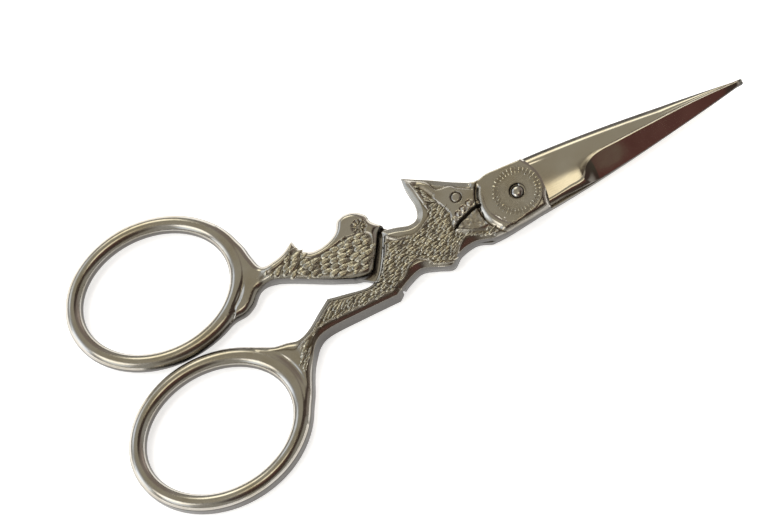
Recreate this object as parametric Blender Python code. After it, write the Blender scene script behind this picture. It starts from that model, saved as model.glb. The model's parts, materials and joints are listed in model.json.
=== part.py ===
# Small ornamental thread snips: two lapped halves and the screw they turn on.
# Metres, Z up. The flat back of the snips lies on z = 0, the blade tips point along +X.
# The shapes are worked out in millimetres from the screw axis and scaled to metres at the end.
import math

import bmesh
import bpy
from mathutils import Vector, geometry

MM = 0.001
weld = 0.004               # corners closer than this become one
sharp_from = math.radians(32)      # edges that turn more than this stay crisp

# thickness stack
thickness = 4.0            # whole forging, back face to front face
lap_gap = 0.10             # air between the two lapped faces
mid = thickness / 2
lap_top = mid - lap_gap / 2        # top of the back half inside the lap
lap_floor = mid + lap_gap / 2      # underside of the front half inside the lap
rim = 0.32                 # chamfer round every forged outline, seen in plan
rim_height = 0.45

# finger rings, centre given from the screw axis
ring_centre = (-53.4, 11.55)
ring_long = 12.5           # half axes of the line through the middle of the ring section
ring_short = 10.05
ring_turn = math.radians(-3)
ring_width = 2.6           # section seen in plan
ring_height = 2.9
ring_swell = 0.55          # extra section width where the ring meets its shank
ring_swell_turn = math.radians(18)
ring_swell_falloff = 4
ring_steps = 48
section_steps = 12

# blade, x stations from the screw to the tip
tip_x = 36.0
blade_root_x = 0.5
spine_root_y = 4.55
spine_tip_y = 0.42
edge_tip_y = 0.08
edge_root_y = -3.72
edge_heel_y = -3.4         # where grinding starts
edge_heel_x = 3.0          # the lower edge runs level from here on
edge_heel_run = 6.0
spine_taper = 1.5
edge_taper = 1.35
chamfer_width = 1.05       # slope along the lower edge before the ground bevel
chamfer_lift = 0.25        # how much higher that slope starts than the cutting edge
shoulder_full_y = 0.1      # upper border of the ground bevel, full width and tip
shoulder_tip_y = 0.5
crease_root_y = 2.5        # faint crease along the face
crease_end_y = 0.45
crease_from_x = 4.0
crease_run = 10.0
back_blade_shift = 0.32    # closed blades cross a little, so the back one lies higher
back_blade_lean = 0.004
spine_bevel = 0.8          # width of the slope along the spine
edge_land = 0.08           # thickness left at the cutting edge
blade_height_root = 1.7
blade_height_tip = 0.42
shoulder_height = 0.9      # heights along the section, as shares of the blade's height
spine_height = 0.38
grind_start_x = 9.4        # where the ground cutting bevel begins
grind_full_x = 13.2        # where it has reached its full width

# screw
shank_radius = 1.0
thread_gap = 0.03          # screw to its thread in the front half
turning_gap = 0.06         # screw to the hole in the back half
head_radius = 2.1
head_sink = 0.12           # head lies this far below the back face
head_depth = 1.0
slot_width = 0.5
slot_depth = 0.45
tip_recess_radius = 1.45
tip_recess_depth = 0.45
tip_rise = 0.5             # height of the rounded end above the recess floor
tip_flat_radius = 0.12
head_edge = 0.08           # small bevel round the head
round_steps = 32

# ornament cut into the front face
eye_at = (-8.25, 3.35)
eye_radius = 0.8
eye_depth = 0.18
pupil_share = 0.55         # raised middle of the eye
eye_steps = 20
collar_radius = 5.75       # groove between the head and the boss
collar_groove = 0.34
collar_from = math.radians(146)
collar_to = math.radians(232)
collar_steps = 14
collar_depth = 0.3
mouth_depth = 0.38


def clear_scene():
    for item in list(bpy.data.objects):
        bpy.data.objects.remove(item, do_unlink=True)


def steel_front():
    mat = bpy.data.materials.new("plated_steel_front")
    mat.use_nodes = True
    shader = mat.node_tree.nodes["Principled BSDF"]
    shader.inputs["Base Color"].default_value = (0.52, 0.48, 0.41, 1)
    shader.inputs["Metallic"].default_value = 1.0
    shader.inputs["Roughness"].default_value = 0.26
    return mat


def steel_back():
    mat = bpy.data.materials.new("plated_steel_back")
    mat.use_nodes = True
    shader = mat.node_tree.nodes["Principled BSDF"]
    shader.inputs["Base Color"].default_value = (0.50, 0.46, 0.40, 1)
    shader.inputs["Metallic"].default_value = 1.0
    shader.inputs["Roughness"].default_value = 0.28
    return mat


def screw_steel():
    mat = bpy.data.materials.new("screw_steel")
    mat.use_nodes = True
    shader = mat.node_tree.nodes["Principled BSDF"]
    shader.inputs["Base Color"].default_value = (0.58, 0.56, 0.52, 1)
    shader.inputs["Metallic"].default_value = 1.0
    shader.inputs["Roughness"].default_value = 0.2
    return mat


def curve_through(stretches, step=0.9):
    """Closed outline from stretches of points; each stretch is one smooth curve."""
    outline = []
    for knots in stretches:
        pts = [Vector(p) for p in knots]
        before = pts[0] * 2 - pts[1]
        after = pts[-1] * 2 - pts[-2]
        run = [before] + pts + [after]
        for i in range(1, len(run) - 2):
            p0, p1, p2, p3 = run[i - 1:i + 3]
            parts = max(1, round((p2 - p1).length / step))
            for k in range(parts):
                t = k / parts
                a = p1 * 2
                b = (p2 - p0) * t
                c = (p0 * 2 - p1 * 5 + p2 * 4 - p3) * t * t
                d = (p1 * 3 - p0 - p2 * 3 + p3) * t ** 3
                outline.append((a + b + c + d) / 2)
    return outline


def shrink(outline, distance):
    """Move every point of a counterclockwise outline inwards by the distance."""
    count = len(outline)
    moved = []
    for i, p in enumerate(outline):
        back = (p - outline[i - 1]).normalized()
        ahead = (outline[(i + 1) % count] - p).normalized()
        normal = Vector((-back.y - ahead.y, back.x + ahead.x)).normalized()
        spread = max(0.55, normal.dot(Vector((-back.y, back.x))))
        moved.append(p + normal * distance / spread)
    return moved


def new_object(name, bm):
    bmesh.ops.recalc_face_normals(bm, faces=bm.faces)
    mesh = bpy.data.meshes.new(name)
    bm.to_mesh(mesh)
    bm.free()
    item = bpy.data.objects.new(name, mesh)
    bpy.context.scene.collection.objects.link(item)
    return item


def close_end(bm, loop, flat):
    """Fill the loop; a level outline is triangulated in plan, any other one is a single face."""
    if not flat:
        bm.faces.new(loop)
        return
    plan = [v.co.to_2d() for v in loop]
    triangles = geometry.delaunay_2d_cdt(plan, [], [list(range(len(loop)))], 1, 1e-6)[2]
    for tri in triangles:
        bm.faces.new([loop[i] for i in tri])


def loft(name, rings, flat=True):
    """Closed body through a list of point loops that all have the same length."""
    bm = bmesh.new()
    loops = []
    for ring in rings:
        loops.append([bm.verts.new(p) for p in ring])
    count = len(loops[0])
    for low, high in zip(loops, loops[1:]):
        for i in range(count):
            j = (i + 1) % count
            bm.faces.new((low[i], low[j], high[j], high[i]))
    close_end(bm, loops[0], flat)
    close_end(bm, loops[-1], flat)
    return new_object(name, bm)


def slab(name, outline, low, high, chamfer_low=False, chamfer_high=False):
    """Flat forging of the given outline, with a chamfered rim below or above where asked."""
    levels = []
    if chamfer_low:
        levels.append((shrink(outline, rim), low))
        low += rim_height
    levels.append((outline, low))
    if chamfer_high:
        levels.append((outline, high - rim_height))
        outline = shrink(outline, rim)
    levels.append((outline, high))
    return loft(name, [[(p.x, p.y, z) for p in pts] for pts, z in levels])


def turned(name, profile, steps=round_steps, centre=(0, 0)):
    """Solid of revolution about Z from (radius, height) pairs."""
    rings = []
    for radius, height in profile:
        ring = []
        for i in range(steps):
            a = math.tau * i / steps
            ring.append((centre[0] + radius * math.cos(a), centre[1] + radius * math.sin(a), height))
        rings.append(ring)
    return loft(name, rings)


def combine(item, other, operation):
    """Boolean one helper into an object and remove the helper."""
    mod = item.modifiers.new(operation.title(), 'BOOLEAN')
    mod.operation = operation
    mod.solver = 'EXACT'
    mod.object = other
    bpy.context.view_layer.update()
    shaped = item.evaluated_get(bpy.context.evaluated_depsgraph_get())
    mesh = bpy.data.meshes.new_from_object(shaped)
    item.modifiers.remove(mod)
    old = item.data
    item.data = mesh
    bpy.data.meshes.remove(old)
    bpy.data.objects.remove(other, do_unlink=True)


def finish_mesh(item, name, mat):
    """Weld, triangulate and smooth the finished body."""
    bm = bmesh.new()
    bm.from_mesh(item.data)
    bmesh.ops.remove_doubles(bm, verts=bm.verts, dist=weld)
    bmesh.ops.dissolve_degenerate(bm, edges=bm.edges, dist=weld)
    bmesh.ops.triangulate(bm, faces=bm.faces)
    bmesh.ops.scale(bm, vec=(MM, MM, MM), verts=bm.verts)
    bm.to_mesh(item.data)
    bm.free()
    item.name = name
    item.data.name = name
    item.data.materials.clear()
    item.data.materials.append(mat)
    item.data.shade_smooth()
    item.data.set_sharp_from_angle(angle=sharp_from)


def finger_ring(name, side):
    """Oval ring with an oval section, thicker where the shank joins it."""
    cx, cy = ring_centre
    bm = bmesh.new()
    loops = []
    for i in range(ring_steps):
        t = math.tau * i / ring_steps
        x = ring_long * math.cos(t)
        y = ring_short * math.sin(t)
        nx = math.cos(t) / ring_long
        ny = math.sin(t) / ring_short
        length = math.hypot(nx, ny)
        nx, ny = nx / length, ny / length
        swell = ring_swell * max(0, math.cos(t + ring_swell_turn)) ** ring_swell_falloff
        loop = []
        for k in range(section_steps):
            a = math.tau * k / section_steps
            out = math.cos(a) * ring_width / 2 + swell * max(0, math.cos(a))
            px, py = x + nx * out, y + ny * out
            wx = cx + px * math.cos(ring_turn) - py * math.sin(ring_turn)
            wy = cy + px * math.sin(ring_turn) + py * math.cos(ring_turn)
            wz = mid + math.sin(a) * ring_height / 2
            loop.append(bm.verts.new((wx, wy * side, wz)))
        loops.append(loop)
    for i in range(ring_steps):
        low, high = loops[i], loops[(i + 1) % ring_steps]
        for k in range(section_steps):
            j = (k + 1) % section_steps
            bm.faces.new((low[k], low[j], high[j], high[k]))
    return new_object(name, bm)


def blend(a, b, t):
    return a + (b - a) * t


def share(t):
    return min(1, max(0, t))


def blade_section(x):
    """Cross section of the front blade at one station, counterclockwise seen from the tip."""
    along = (x - blade_root_x) / (tip_x - blade_root_x)
    spine = blend(spine_root_y, spine_tip_y, along ** spine_taper)
    edge = blend(edge_root_y, edge_heel_y, share((x - edge_heel_x) / edge_heel_run))
    if x > grind_start_x:
        ground_run = (x - grind_start_x) / (tip_x - grind_start_x)
        edge = blend(edge_heel_y, edge_tip_y, ground_run ** edge_taper)
    height = blend(blade_height_root, blade_height_tip, along)
    ground = share((x - grind_start_x) / (grind_full_x - grind_start_x))
    arc = math.sqrt(1 - (1 - ground) ** 2)
    shoulder = blend(edge + chamfer_width, blend(shoulder_full_y, shoulder_tip_y, along), arc)
    shoulder = min(shoulder, blend(edge, spine, 0.6))
    crest = blend(crease_root_y, crease_end_y, share((x - crease_from_x) / crease_run))
    crest = blend(crest, blend(shoulder, spine, 0.25), share((x - 8) / 8))
    bevel = min(spine_bevel, (spine - crest) * 0.7)
    low = lap_floor
    return [
        (x, edge, low),
        (x, edge, low + edge_land + chamfer_lift * (1 - arc)),
        (x, shoulder, low + height * shoulder_height),
        (x, crest, low + height),
        (x, spine - bevel, low + height * shoulder_height),
        (x, spine, low + height * spine_height),
        (x, spine, low),
    ][::-1]


def blade_blank(name):
    """Front blade from under the boss out to its point."""
    stations = [blade_root_x, 3.0, 5.5, 8.0, grind_start_x, 9.7, 10.3, 11.2, grind_full_x]
    span = tip_x - grind_full_x
    for i in range(1, 9):
        stations.append(grind_full_x + span * i / 9)
    stations.append(tip_x - 0.7)
    stations.append(tip_x)
    return loft(name, [blade_section(x) for x in stations], False)


def turn_over(item):
    """Half a turn about the long middle line of the snips, then the small crossing of the closed blades."""
    bm = bmesh.new()
    bm.from_mesh(item.data)
    for v in bm.verts:
        v.co.y = -v.co.y + back_blade_shift + back_blade_lean * v.co.x
        v.co.z = thickness - v.co.z
    bm.to_mesh(item.data)
    bm.free()


# outlines, counterclockwise, one stretch per smooth curve
head_top = [(2.6, 4.4), (-0.6, 4.62), (-2.9, 4.75), (-4.9, 4.5), (-7.4, 5.75), (-10.5, 7.75), (-14.2, 10.0)]
ear_back = [(-14.2, 10.0), (-14.35, 8.0), (-14.1, 5.3), (-14.6, 3.5), (-16.0, 3.0), (-18.1, 3.65),
            (-20.15, 4.1)]
front_gap = [(-20.15, 4.1), (-20.5, 2.9), (-22.15, -0.15), (-23.7, -2.1), (-25.4, -2.7), (-28.6, -2.1),
             (-31.3, -1.5)]
front_neck_top = [(-31.3, -1.5), (-33.3, -2.8), (-35.7, -4.45), (-37.6, -5.05), (-39.4, -4.4),
                  (-41.4, -3.95), (-43.6, -2.85), (-46.2, -2.0)]
front_ring_end = [(-46.2, -2.0), (-45.3, -4.2), (-43.0, -6.2), (-41.5, -8.9), (-41.1, -12.0), (-42.0, -15.6)]
front_neck_low = [(-42.0, -15.6), (-40.6, -15.4), (-39.1, -13.2), (-38.0, -10.8), (-36.8, -8.5),
                  (-35.2, -6.5), (-33.0, -5.7), (-28.0, -5.65), (-22.0, -5.75)]
belly = [(-22.0, -5.75), (-19.8, -4.6), (-17.5, -3.85), (-15.3, -4.55), (-13.1, -5.4), (-11.3, -4.25),
         (-8.7, -3.8), (-5.9, -4.65)]
boss_low = [(-5.9, -4.65), (-3.4, -4.7), (0.0, -4.5), (3.3, -4.1)]
boss_end = [(3.3, -4.1), (3.85, -1.4), (3.8, 1.4), (2.6, 4.4)]
front_outline = [head_top, ear_back, front_gap, front_neck_top, front_ring_end, front_neck_low, belly,
                 boss_low, boss_end]

rump = [(-19.6, 4.75), (-20.85, 6.2), (-21.1, 7.4), (-22.4, 8.6), (-24.0, 8.95), (-25.2, 8.6)]
saddle = [(-25.2, 8.6), (-26.3, 7.0), (-28.3, 6.1), (-30.4, 6.05), (-31.8, 7.1), (-32.4, 8.9)]
back_neck_top = [(-32.4, 8.9), (-34.4, 7.8), (-36.6, 7.35), (-38.0, 7.9), (-38.6, 9.7), (-39.1, 12.2),
                 (-40.4, 15.0), (-41.9, 15.7)]
back_ring_end = [(-41.9, 15.7), (-41.1, 12.0), (-41.6, 8.8), (-43.4, 5.8), (-46.4, 3.3)]
back_neck_low = [(-46.4, 3.3), (-45.2, 2.3), (-43.0, 2.15), (-41.2, 2.95), (-39.5, 4.5), (-37.6, 4.9),
                 (-35.2, 4.0), (-30.2, 1.2), (-26.6, -0.55)]
back_gap = [(-26.6, -0.55), (-24.9, -1.0), (-23.6, -0.75), (-22.5, 0.75), (-21.1, 3.0), (-20.6, 4.0)]
back_upper_outline = [rump, saddle, back_neck_top, back_ring_end, back_neck_low, back_gap,
                      [(-20.6, 4.0), (-19.6, 4.75)]]
lap_top_edge = [(2.6, 4.1), (-0.6, 4.5), (-2.9, 4.65), (-4.9, 4.35), (-7.4, 5.3), (-11.0, 5.9),
                (-13.4, 4.6), (-15.9, 2.85), (-18.2, 3.6), (-19.6, 4.75)]
lap_low_edge = [(-24.4, -1.7), (-22.7, -3.0), (-20.9, -4.85)]
lap_belly = [(-20.9, -4.85), (-19.6, -4.35), (-17.5, -3.75), (-15.3, -4.45), (-13.1, -5.3), (-11.3, -4.15),
             (-8.7, -3.7), (-6.5, -4.6)]
lap_boss_low = [(-6.5, -4.6), (-4.2, -4.6), (-1.0, -4.3), (3.1, -3.85)]
lap_boss_end = [(3.1, -3.85), (3.8, -1.4), (3.7, 1.4), (2.6, 4.1)]
lap_outline = [lap_top_edge, rump, saddle, back_neck_top, back_ring_end, back_neck_low,
               [(-26.6, -0.55), (-25.4, -0.95), (-24.4, -1.7)], lap_low_edge, lap_belly, lap_boss_low,
               lap_boss_end]
# region under the front half that is cut away for the lap of the back half
lap_room = [(6.0, 12.0), (-21.0, 12.0), (-27.5, 1.5), (-25.0, -2.1), (-23.1, -3.35), (-21.2, -5.2),
            (-20.0, -7.0), (6.0, -7.0)]


def cut_collar(item):
    """Arc-shaped groove between the head and the round boss."""
    inner, outer = [], []
    for i in range(collar_steps + 1):
        a = blend(collar_from, collar_to, i / collar_steps)
        inner.append(Vector((math.cos(a), math.sin(a))) * (collar_radius - collar_groove / 2))
        outer.append(Vector((math.cos(a), math.sin(a))) * (collar_radius + collar_groove / 2))
    outline = outer + inner[::-1]
    combine(item, slab("collar", outline, thickness - collar_depth, thickness + 1), 'DIFFERENCE')


def cut_mouth(item):
    """Shallow wedge between the upper lip and the lower jaw."""
    outline = [Vector(p) for p in ((-10.6, -0.75), (-9.2, -1.85), (-7.4, -2.35), (-6.15, -2.45),
                                   (-6.35, 0.35), (-7.3, 0.7), (-8.8, 0.1))]
    combine(item, slab("mouth", outline, thickness - mouth_depth, thickness + 1), 'DIFFERENCE')


def cut_eye(item):
    """Ring-shaped sinking round the eye."""
    pupil_radius = eye_radius * pupil_share
    over = thickness + 1
    ring = turned("eye", [(eye_radius, thickness - eye_depth), (eye_radius, over)], eye_steps, eye_at)
    pupil = turned("pupil", [(pupil_radius, thickness - 1), (pupil_radius, over)], eye_steps, eye_at)
    combine(ring, pupil, 'DIFFERENCE')
    combine(item, ring, 'DIFFERENCE')


def build_front_half(mat):
    outline = curve_through(front_outline)
    item = slab("front_half", outline, 0, thickness, True, True)
    room = slab("room", [Vector(p) for p in lap_room], -2, lap_floor)
    combine(item, room, 'DIFFERENCE')
    combine(item, finger_ring("ring", -1), 'UNION')
    combine(item, blade_blank("blade"), 'UNION')
    cut_collar(item)
    cut_mouth(item)
    cut_eye(item)
    hole = shank_radius + thread_gap
    floor = thickness - tip_recess_depth
    bore = turned("bore", [(hole, 0), (hole, floor), (tip_recess_radius, floor),
                           (tip_recess_radius, thickness + 1)])
    combine(item, bore, 'DIFFERENCE')
    finish_mesh(item, "front_half", mat)
    return item


def build_back_half(mat):
    item = slab("back_half", curve_through(back_upper_outline), 0.6, thickness, False, True)
    lap = slab("lap", curve_through(lap_outline), 0, lap_top, True, False)
    combine(item, lap, 'UNION')
    combine(item, finger_ring("ring", 1), 'UNION')
    blade = blade_blank("blade")
    turn_over(blade)
    combine(item, blade, 'UNION')
    hole = shank_radius + turning_gap
    wide = head_radius + turning_gap
    bore = turned("bore", [(wide, -1), (wide, head_sink + head_edge), (hole, head_sink + head_depth),
                           (hole, thickness)])
    combine(item, bore, 'DIFFERENCE')
    finish_mesh(item, "back_half", mat)
    return item


def build_pivot_screw(mat):
    floor = thickness - tip_recess_depth
    profile = [(head_radius - head_edge, head_sink), (head_radius, head_sink + head_edge),
               (shank_radius, head_sink + head_depth), (shank_radius, floor)]
    for i in range(1, 5):
        a = math.radians(90) * i / 5
        profile.append((shank_radius * math.cos(a), floor + tip_rise * math.sin(a)))
    profile.append((tip_flat_radius, floor + tip_rise))
    item = turned("pivot_screw", profile)
    half = slot_width / 2
    reach = head_radius + 1
    outline = [Vector(p) for p in ((-reach, -half), (reach, -half), (reach, half), (-reach, half))]
    combine(item, slab("slot", outline, -1, head_sink + slot_depth), 'DIFFERENCE')
    finish_mesh(item, "pivot_screw", mat)
    return item


def main():
    clear_scene()
    items = [
        build_front_half(steel_front()),
        build_back_half(steel_back()),
        build_pivot_screw(screw_steel()),
    ]
    reach_x = [v.co.x for item in items for v in item.data.vertices]
    reach_y = [v.co.y for item in items for v in item.data.vertices]
    shift = Vector((-(min(reach_x) + max(reach_x)) / 2, -(min(reach_y) + max(reach_y)) / 2, 0))
    print("screw axis at", tuple(round(c / MM, 4) for c in shift))
    for item in items:
        item.location = shift
        print(item.name, "triangles", len(item.data.polygons))


main()
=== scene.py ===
import json
import math

import bmesh
import bpy
import numpy as np
from mathutils import Matrix, Vector, geometry, noise

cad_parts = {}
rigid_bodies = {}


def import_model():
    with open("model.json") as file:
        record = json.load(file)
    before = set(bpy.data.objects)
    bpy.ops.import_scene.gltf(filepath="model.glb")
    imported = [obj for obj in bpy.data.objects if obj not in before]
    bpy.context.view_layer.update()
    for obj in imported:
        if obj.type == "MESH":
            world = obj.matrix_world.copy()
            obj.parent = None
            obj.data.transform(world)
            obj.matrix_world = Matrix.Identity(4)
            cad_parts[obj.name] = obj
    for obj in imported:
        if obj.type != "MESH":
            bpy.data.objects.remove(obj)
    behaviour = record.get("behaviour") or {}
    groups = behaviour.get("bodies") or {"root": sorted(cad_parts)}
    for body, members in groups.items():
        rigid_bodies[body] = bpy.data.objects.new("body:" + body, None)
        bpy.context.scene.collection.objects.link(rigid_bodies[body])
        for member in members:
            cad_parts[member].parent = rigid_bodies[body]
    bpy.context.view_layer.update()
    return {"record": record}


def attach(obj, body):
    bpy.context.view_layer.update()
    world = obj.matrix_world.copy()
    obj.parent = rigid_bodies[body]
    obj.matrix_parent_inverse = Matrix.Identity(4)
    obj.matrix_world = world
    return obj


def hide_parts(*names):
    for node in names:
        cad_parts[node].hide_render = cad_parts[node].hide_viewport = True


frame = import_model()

mm = 0.001
pivot = Vector(frame["record"]["behaviour"]["joints"][0]["pos_m"])  # screw axis, middle of the thickness
frontBody, backBody = "front_half", "back_half"
print("frame loaded, screw at", tuple(round(c, 4) for c in pivot))


def addObject(name, mesh):
    item = bpy.data.objects.new(name, mesh)
    bpy.context.scene.collection.objects.link(item)
    return item


def meshFromBuild(name, bm):
    mesh = bpy.data.meshes.new(name)
    bm.to_mesh(mesh)
    bm.free()
    return mesh


def paint(mesh, key, values, domain='POINT'):
    layer = mesh.attributes.new(key, 'FLOAT', domain)
    layer.data.foreach_set("value", values.astype(np.float32))


class Val:
    # wraps one socket, so that sums on it add Math nodes
    def __init__(self, mat, socket):
        self.mat = mat
        self.socket = socket

    def mathNode(self, operation, a, b, clamp=False):
        return self.mat.node("ShaderNodeMath", {"operation": operation, "use_clamp": clamp}, {0: a, 1: b})

    def clamped(self):
        return self.mathNode('ADD', self, 0.0, True)


for special, operation in (("add", 'ADD'), ("sub", 'SUBTRACT'), ("mul", 'MULTIPLY')):
    setattr(Val, f"__{special}__", lambda a, b, o=operation: a.mathNode(o, a, b))
    setattr(Val, f"__r{special}__", lambda a, b, o=operation: a.mathNode(o, b, a))


class Finish:
    def __init__(self, name):
        self.material = bpy.data.materials.new(name)
        self.material.use_nodes = True
        self.tree = self.material.node_tree
        self.shader = self.tree.nodes["Principled BSDF"]

    def node(self, kind, settings=None, inputs=None, out=0):
        made = self.tree.nodes.new(kind)
        for key, value in (settings or {}).items():
            setattr(made, key, value)
        for key, value in (inputs or {}).items():
            self.plug(made.inputs[key], value)
        return Val(self, made.outputs[out])

    def plug(self, socket, value):
        if isinstance(value, Val):
            self.tree.links.new(value.socket, socket)
        else:
            socket.default_value = value

    def place(self):
        return self.node("ShaderNodeTexCoord", out=3)  # Object

    def grain(self, size, detail=3.0, stretch=(1, 1, 1), turn=0.0):
        spot = self.node("ShaderNodeMapping", None, {0: self.place(), "Rotation": (0, 0, turn), "Scale": stretch})
        return self.node("ShaderNodeTexNoise", None, {"Vector": spot, "Scale": 1 / size, "Detail": detail})

    def spread(self, value, low, high, newLow, newHigh):
        return self.node("ShaderNodeMapRange", {"clamp": True},
                         {0: value, 1: low, 2: high, 3: newLow, 4: newHigh})

    def mixColour(self, amount, a, b):
        return self.node("ShaderNodeMix", {"data_type": 'RGBA'}, {0: amount, 6: a, 7: b}, out=2)

    def clouded(self, cloud, a, b, low=0.35, high=0.7):
        return self.mixColour(self.spread(cloud, low, high, 0.0, 1.0), a, b)

    def attribute(self, name):
        return self.node("ShaderNodeAttribute", {"attribute_name": name}, out=2)

    def bump(self, height, strength, distance):
        return self.node("ShaderNodeBump", None, {"Strength": strength, "Distance": distance, "Height": height})

    def finish(self, colour, roughness, normal=None, metallic=1.0):
        self.plug(self.shader.inputs["Base Color"], colour)
        self.plug(self.shader.inputs["Roughness"], roughness)
        self.plug(self.shader.inputs["Metallic"], metallic)
        if normal is not None:
            self.plug(self.shader.inputs["Normal"], normal)
        return self.material


plateLook = {
    "bright": (0.60, 0.575, 0.53, 1),
    "warm": (0.50, 0.455, 0.37, 1),
    # grime: dark colour for old grime and painted shade in the recesses
    "grimeAndShade": (0.13, 0.095, 0.05, 1),
    # wall: the dark colour of the painted shade on the side walls
    "wall": (0.105, 0.098, 0.09, 1),
    "polishRoughness": 0.13,
    "castRoughness": 0.27,
}


def forgedPlate(name):
    # nickel plate over the forging: cast grain, old grime and painted shade in the relief, painted shade on the side
    # walls, polish on the rest
    mat = Finish(name)
    cast = mat.attribute("cast")       # 1 where the relief is left as cast
    grimeAndShade = mat.attribute("grimeAndShade")     # 1 at the bottom of the relief, darkened there by old grime and painted shade
    cloud = mat.grain(0.0045, 4.0)
    fine = mat.grain(0.00022, 4.0)
    pits = mat.grain(0.0006, 5.0)
    tint = mat.clouded(cloud, plateLook["bright"], plateLook["warm"], high=0.68)
    # random cast pits, plus the old grime and painted shade of the recesses
    agedAndShaded = mat.spread(pits, 0.45, 0.7, 0.0, 0.35) * cast + grimeAndShade
    tint = mat.mixColour(agedAndShaded.clamped(), tint, plateLook["grimeAndShade"])
    wall = mat.attribute("wall")       # painted shade: the side walls are darkened
    tint = mat.mixColour(wall, tint, plateLook["wall"])
    rough = mat.spread(cloud, 0.3, 0.7, plateLook["polishRoughness"], plateLook["polishRoughness"] + 0.07)
    rough = rough + cast * (plateLook["castRoughness"] - plateLook["polishRoughness"])
    rough = rough + mat.spread(fine, 0.4, 0.75, 0.0, 0.08) + grimeAndShade * 0.2 + wall * 0.12
    height = fine * cast * 0.6 + mat.grain(0.0016, 3.0) * 0.35 + pits * cast
    return mat.finish(tint, rough.clamped(), mat.bump(height, 0.35, 0.00006))


bladeLook = {
    "face": (0.62, 0.59, 0.53, 1),
    "hot": (0.55, 0.50, 0.42, 1),
    "roughness": 0.10,
    "brushSize": 0.00012,
}


def bladeSteel(name):
    # polished flat with faint grinding lines across it
    mat = Finish(name)
    lines = mat.grain(bladeLook["brushSize"], 3.0, (0.08, 1, 1), math.radians(8))
    smear = mat.grain(0.006, 3.0)
    tint = mat.clouded(smear, bladeLook["face"], bladeLook["hot"])
    rough = mat.spread(lines, 0.35, 0.7, 0.0, 0.05)
    rough = rough + mat.spread(smear, 0.3, 0.7, bladeLook["roughness"], bladeLook["roughness"] + 0.06)
    return mat.finish(tint, rough, mat.bump(lines, 0.12, 0.00001))


bevelLook = {
    "bright": (0.66, 0.62, 0.58, 1),
    "warm": (0.56, 0.5, 0.46, 1),
    "reflectionTint": (0.66, 0.84, 0.72, 1),         # greenish tint near the heel, a painted reflection with a little more roughness
    "reflectionTintPlace": (13.6, -1.1, 0.9),
    "reflectionTintReach": (0.0017, 0.0027),
}


def groundSteel(name):
    # the ground cutting bevel, close to a mirror
    mat = Finish(name)
    lines = mat.grain(0.00009, 2.0, (1, 0.06, 1), math.radians(12))
    smear = mat.grain(0.004, 3.0)
    tint = mat.clouded(smear, bevelLook["bright"], bevelLook["warm"])
    # painted reflection: a soft greenish patch near the heel of the bevel
    centre = tuple(pivot + Vector(bevelLook["reflectionTintPlace"]) * mm)
    spot = mat.node("ShaderNodeVectorMath", {"operation": 'SUBTRACT'}, {0: mat.place(), 1: centre})
    flat = mat.node("ShaderNodeVectorMath", {"operation": 'MULTIPLY'}, {0: spot, 1: (0.5, 1, 1)})
    away = mat.node("ShaderNodeVectorMath", {"operation": 'LENGTH'}, {0: flat}, out=1)
    patch = mat.spread(away + smear * 0.0012, *bevelLook["reflectionTintReach"], 0.7, 0.0)
    tint = mat.mixColour(patch, tint, bevelLook["reflectionTint"])
    rough = mat.spread(lines, 0.35, 0.7, 0.05, 0.1) + patch * 0.08
    return mat.finish(tint, rough, mat.bump(lines, 0.08, 0.00001))


# the dark colours of the painted shade on the blades' sides
sideLook = {"dark": (0.12, 0.112, 0.1, 1), "light": (0.19, 0.178, 0.16, 1), "roughness": (0.25, 0.38)}


def paintedShadeSide(name):
    # painted shade: a dark colour for the narrow sides, the edge wall, the spine's rounded slope, the tip and the end
    # caps of the blades
    mat = Finish(name)
    smear = mat.grain(0.002, 4.0)
    tint = mat.clouded(smear, sideLook["dark"], sideLook["light"])
    rough = mat.spread(smear, 0.3, 0.7, *sideLook["roughness"])
    return mat.finish(tint, rough, mat.bump(mat.grain(0.0002), 0.2, 0.00002))


coatLook = {
    "gold": (0.70, 0.65, 0.51, 1),
    # mark: near-white gold, a painted highlight on the boss marks and rosette petals
    "mark": (0.98, 0.88, 0.62, 1),
    "grey": (0.50, 0.475, 0.41, 1),
    "dark": (0.12, 0.10, 0.065, 1),
}


def coatPlate(name, high):
    # worn high spots of the carving, dark in the pores; with the near-white mark colour this paints a highlight on the
    # raised marks
    mat = Finish(name)
    cloud = mat.grain(0.0012, 3.0)
    pores = mat.grain(0.00028, 4.0)
    fine = mat.grain(0.00012, 3.0)
    tint = mat.clouded(cloud, coatLook["grey"], high, 0.38, 0.64)
    tint = mat.mixColour(mat.spread(pores, 0.52, 0.72, 0.0, 0.85), tint, coatLook["dark"])
    rough = mat.spread(cloud, 0.3, 0.7, 0.13, 0.24) + mat.spread(pores, 0.5, 0.75, 0.0, 0.2)
    return mat.finish(tint, rough, mat.bump(pores + fine * 0.5, 0.5, 0.00009))


screwLook = {"bright": (0.64, 0.62, 0.58, 1), "dirty": (0.34, 0.29, 0.22, 1), "rings": 900.0}


def screwSteel(name):
    # turned end: fine rings round the axis
    mat = Finish(name)
    centred = mat.node("ShaderNodeVectorMath", {"operation": 'SUBTRACT'}, {0: mat.place(), 1: tuple(pivot)})
    rings = mat.node("ShaderNodeTexWave", {"wave_type": 'RINGS', "rings_direction": 'Z'},
                     {"Vector": centred, "Scale": screwLook["rings"], "Distortion": 1.0, "Detail": 2.0})
    dirt = mat.grain(0.0004, 4.0)
    tint = mat.mixColour(mat.spread(dirt, 0.45, 0.7, 0.0, 0.6), screwLook["bright"], screwLook["dirty"])
    rough = mat.spread(dirt, 0.3, 0.7, 0.14, 0.3)
    return mat.finish(tint, rough, mat.bump(rings, 0.1, 0.00001))


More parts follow.
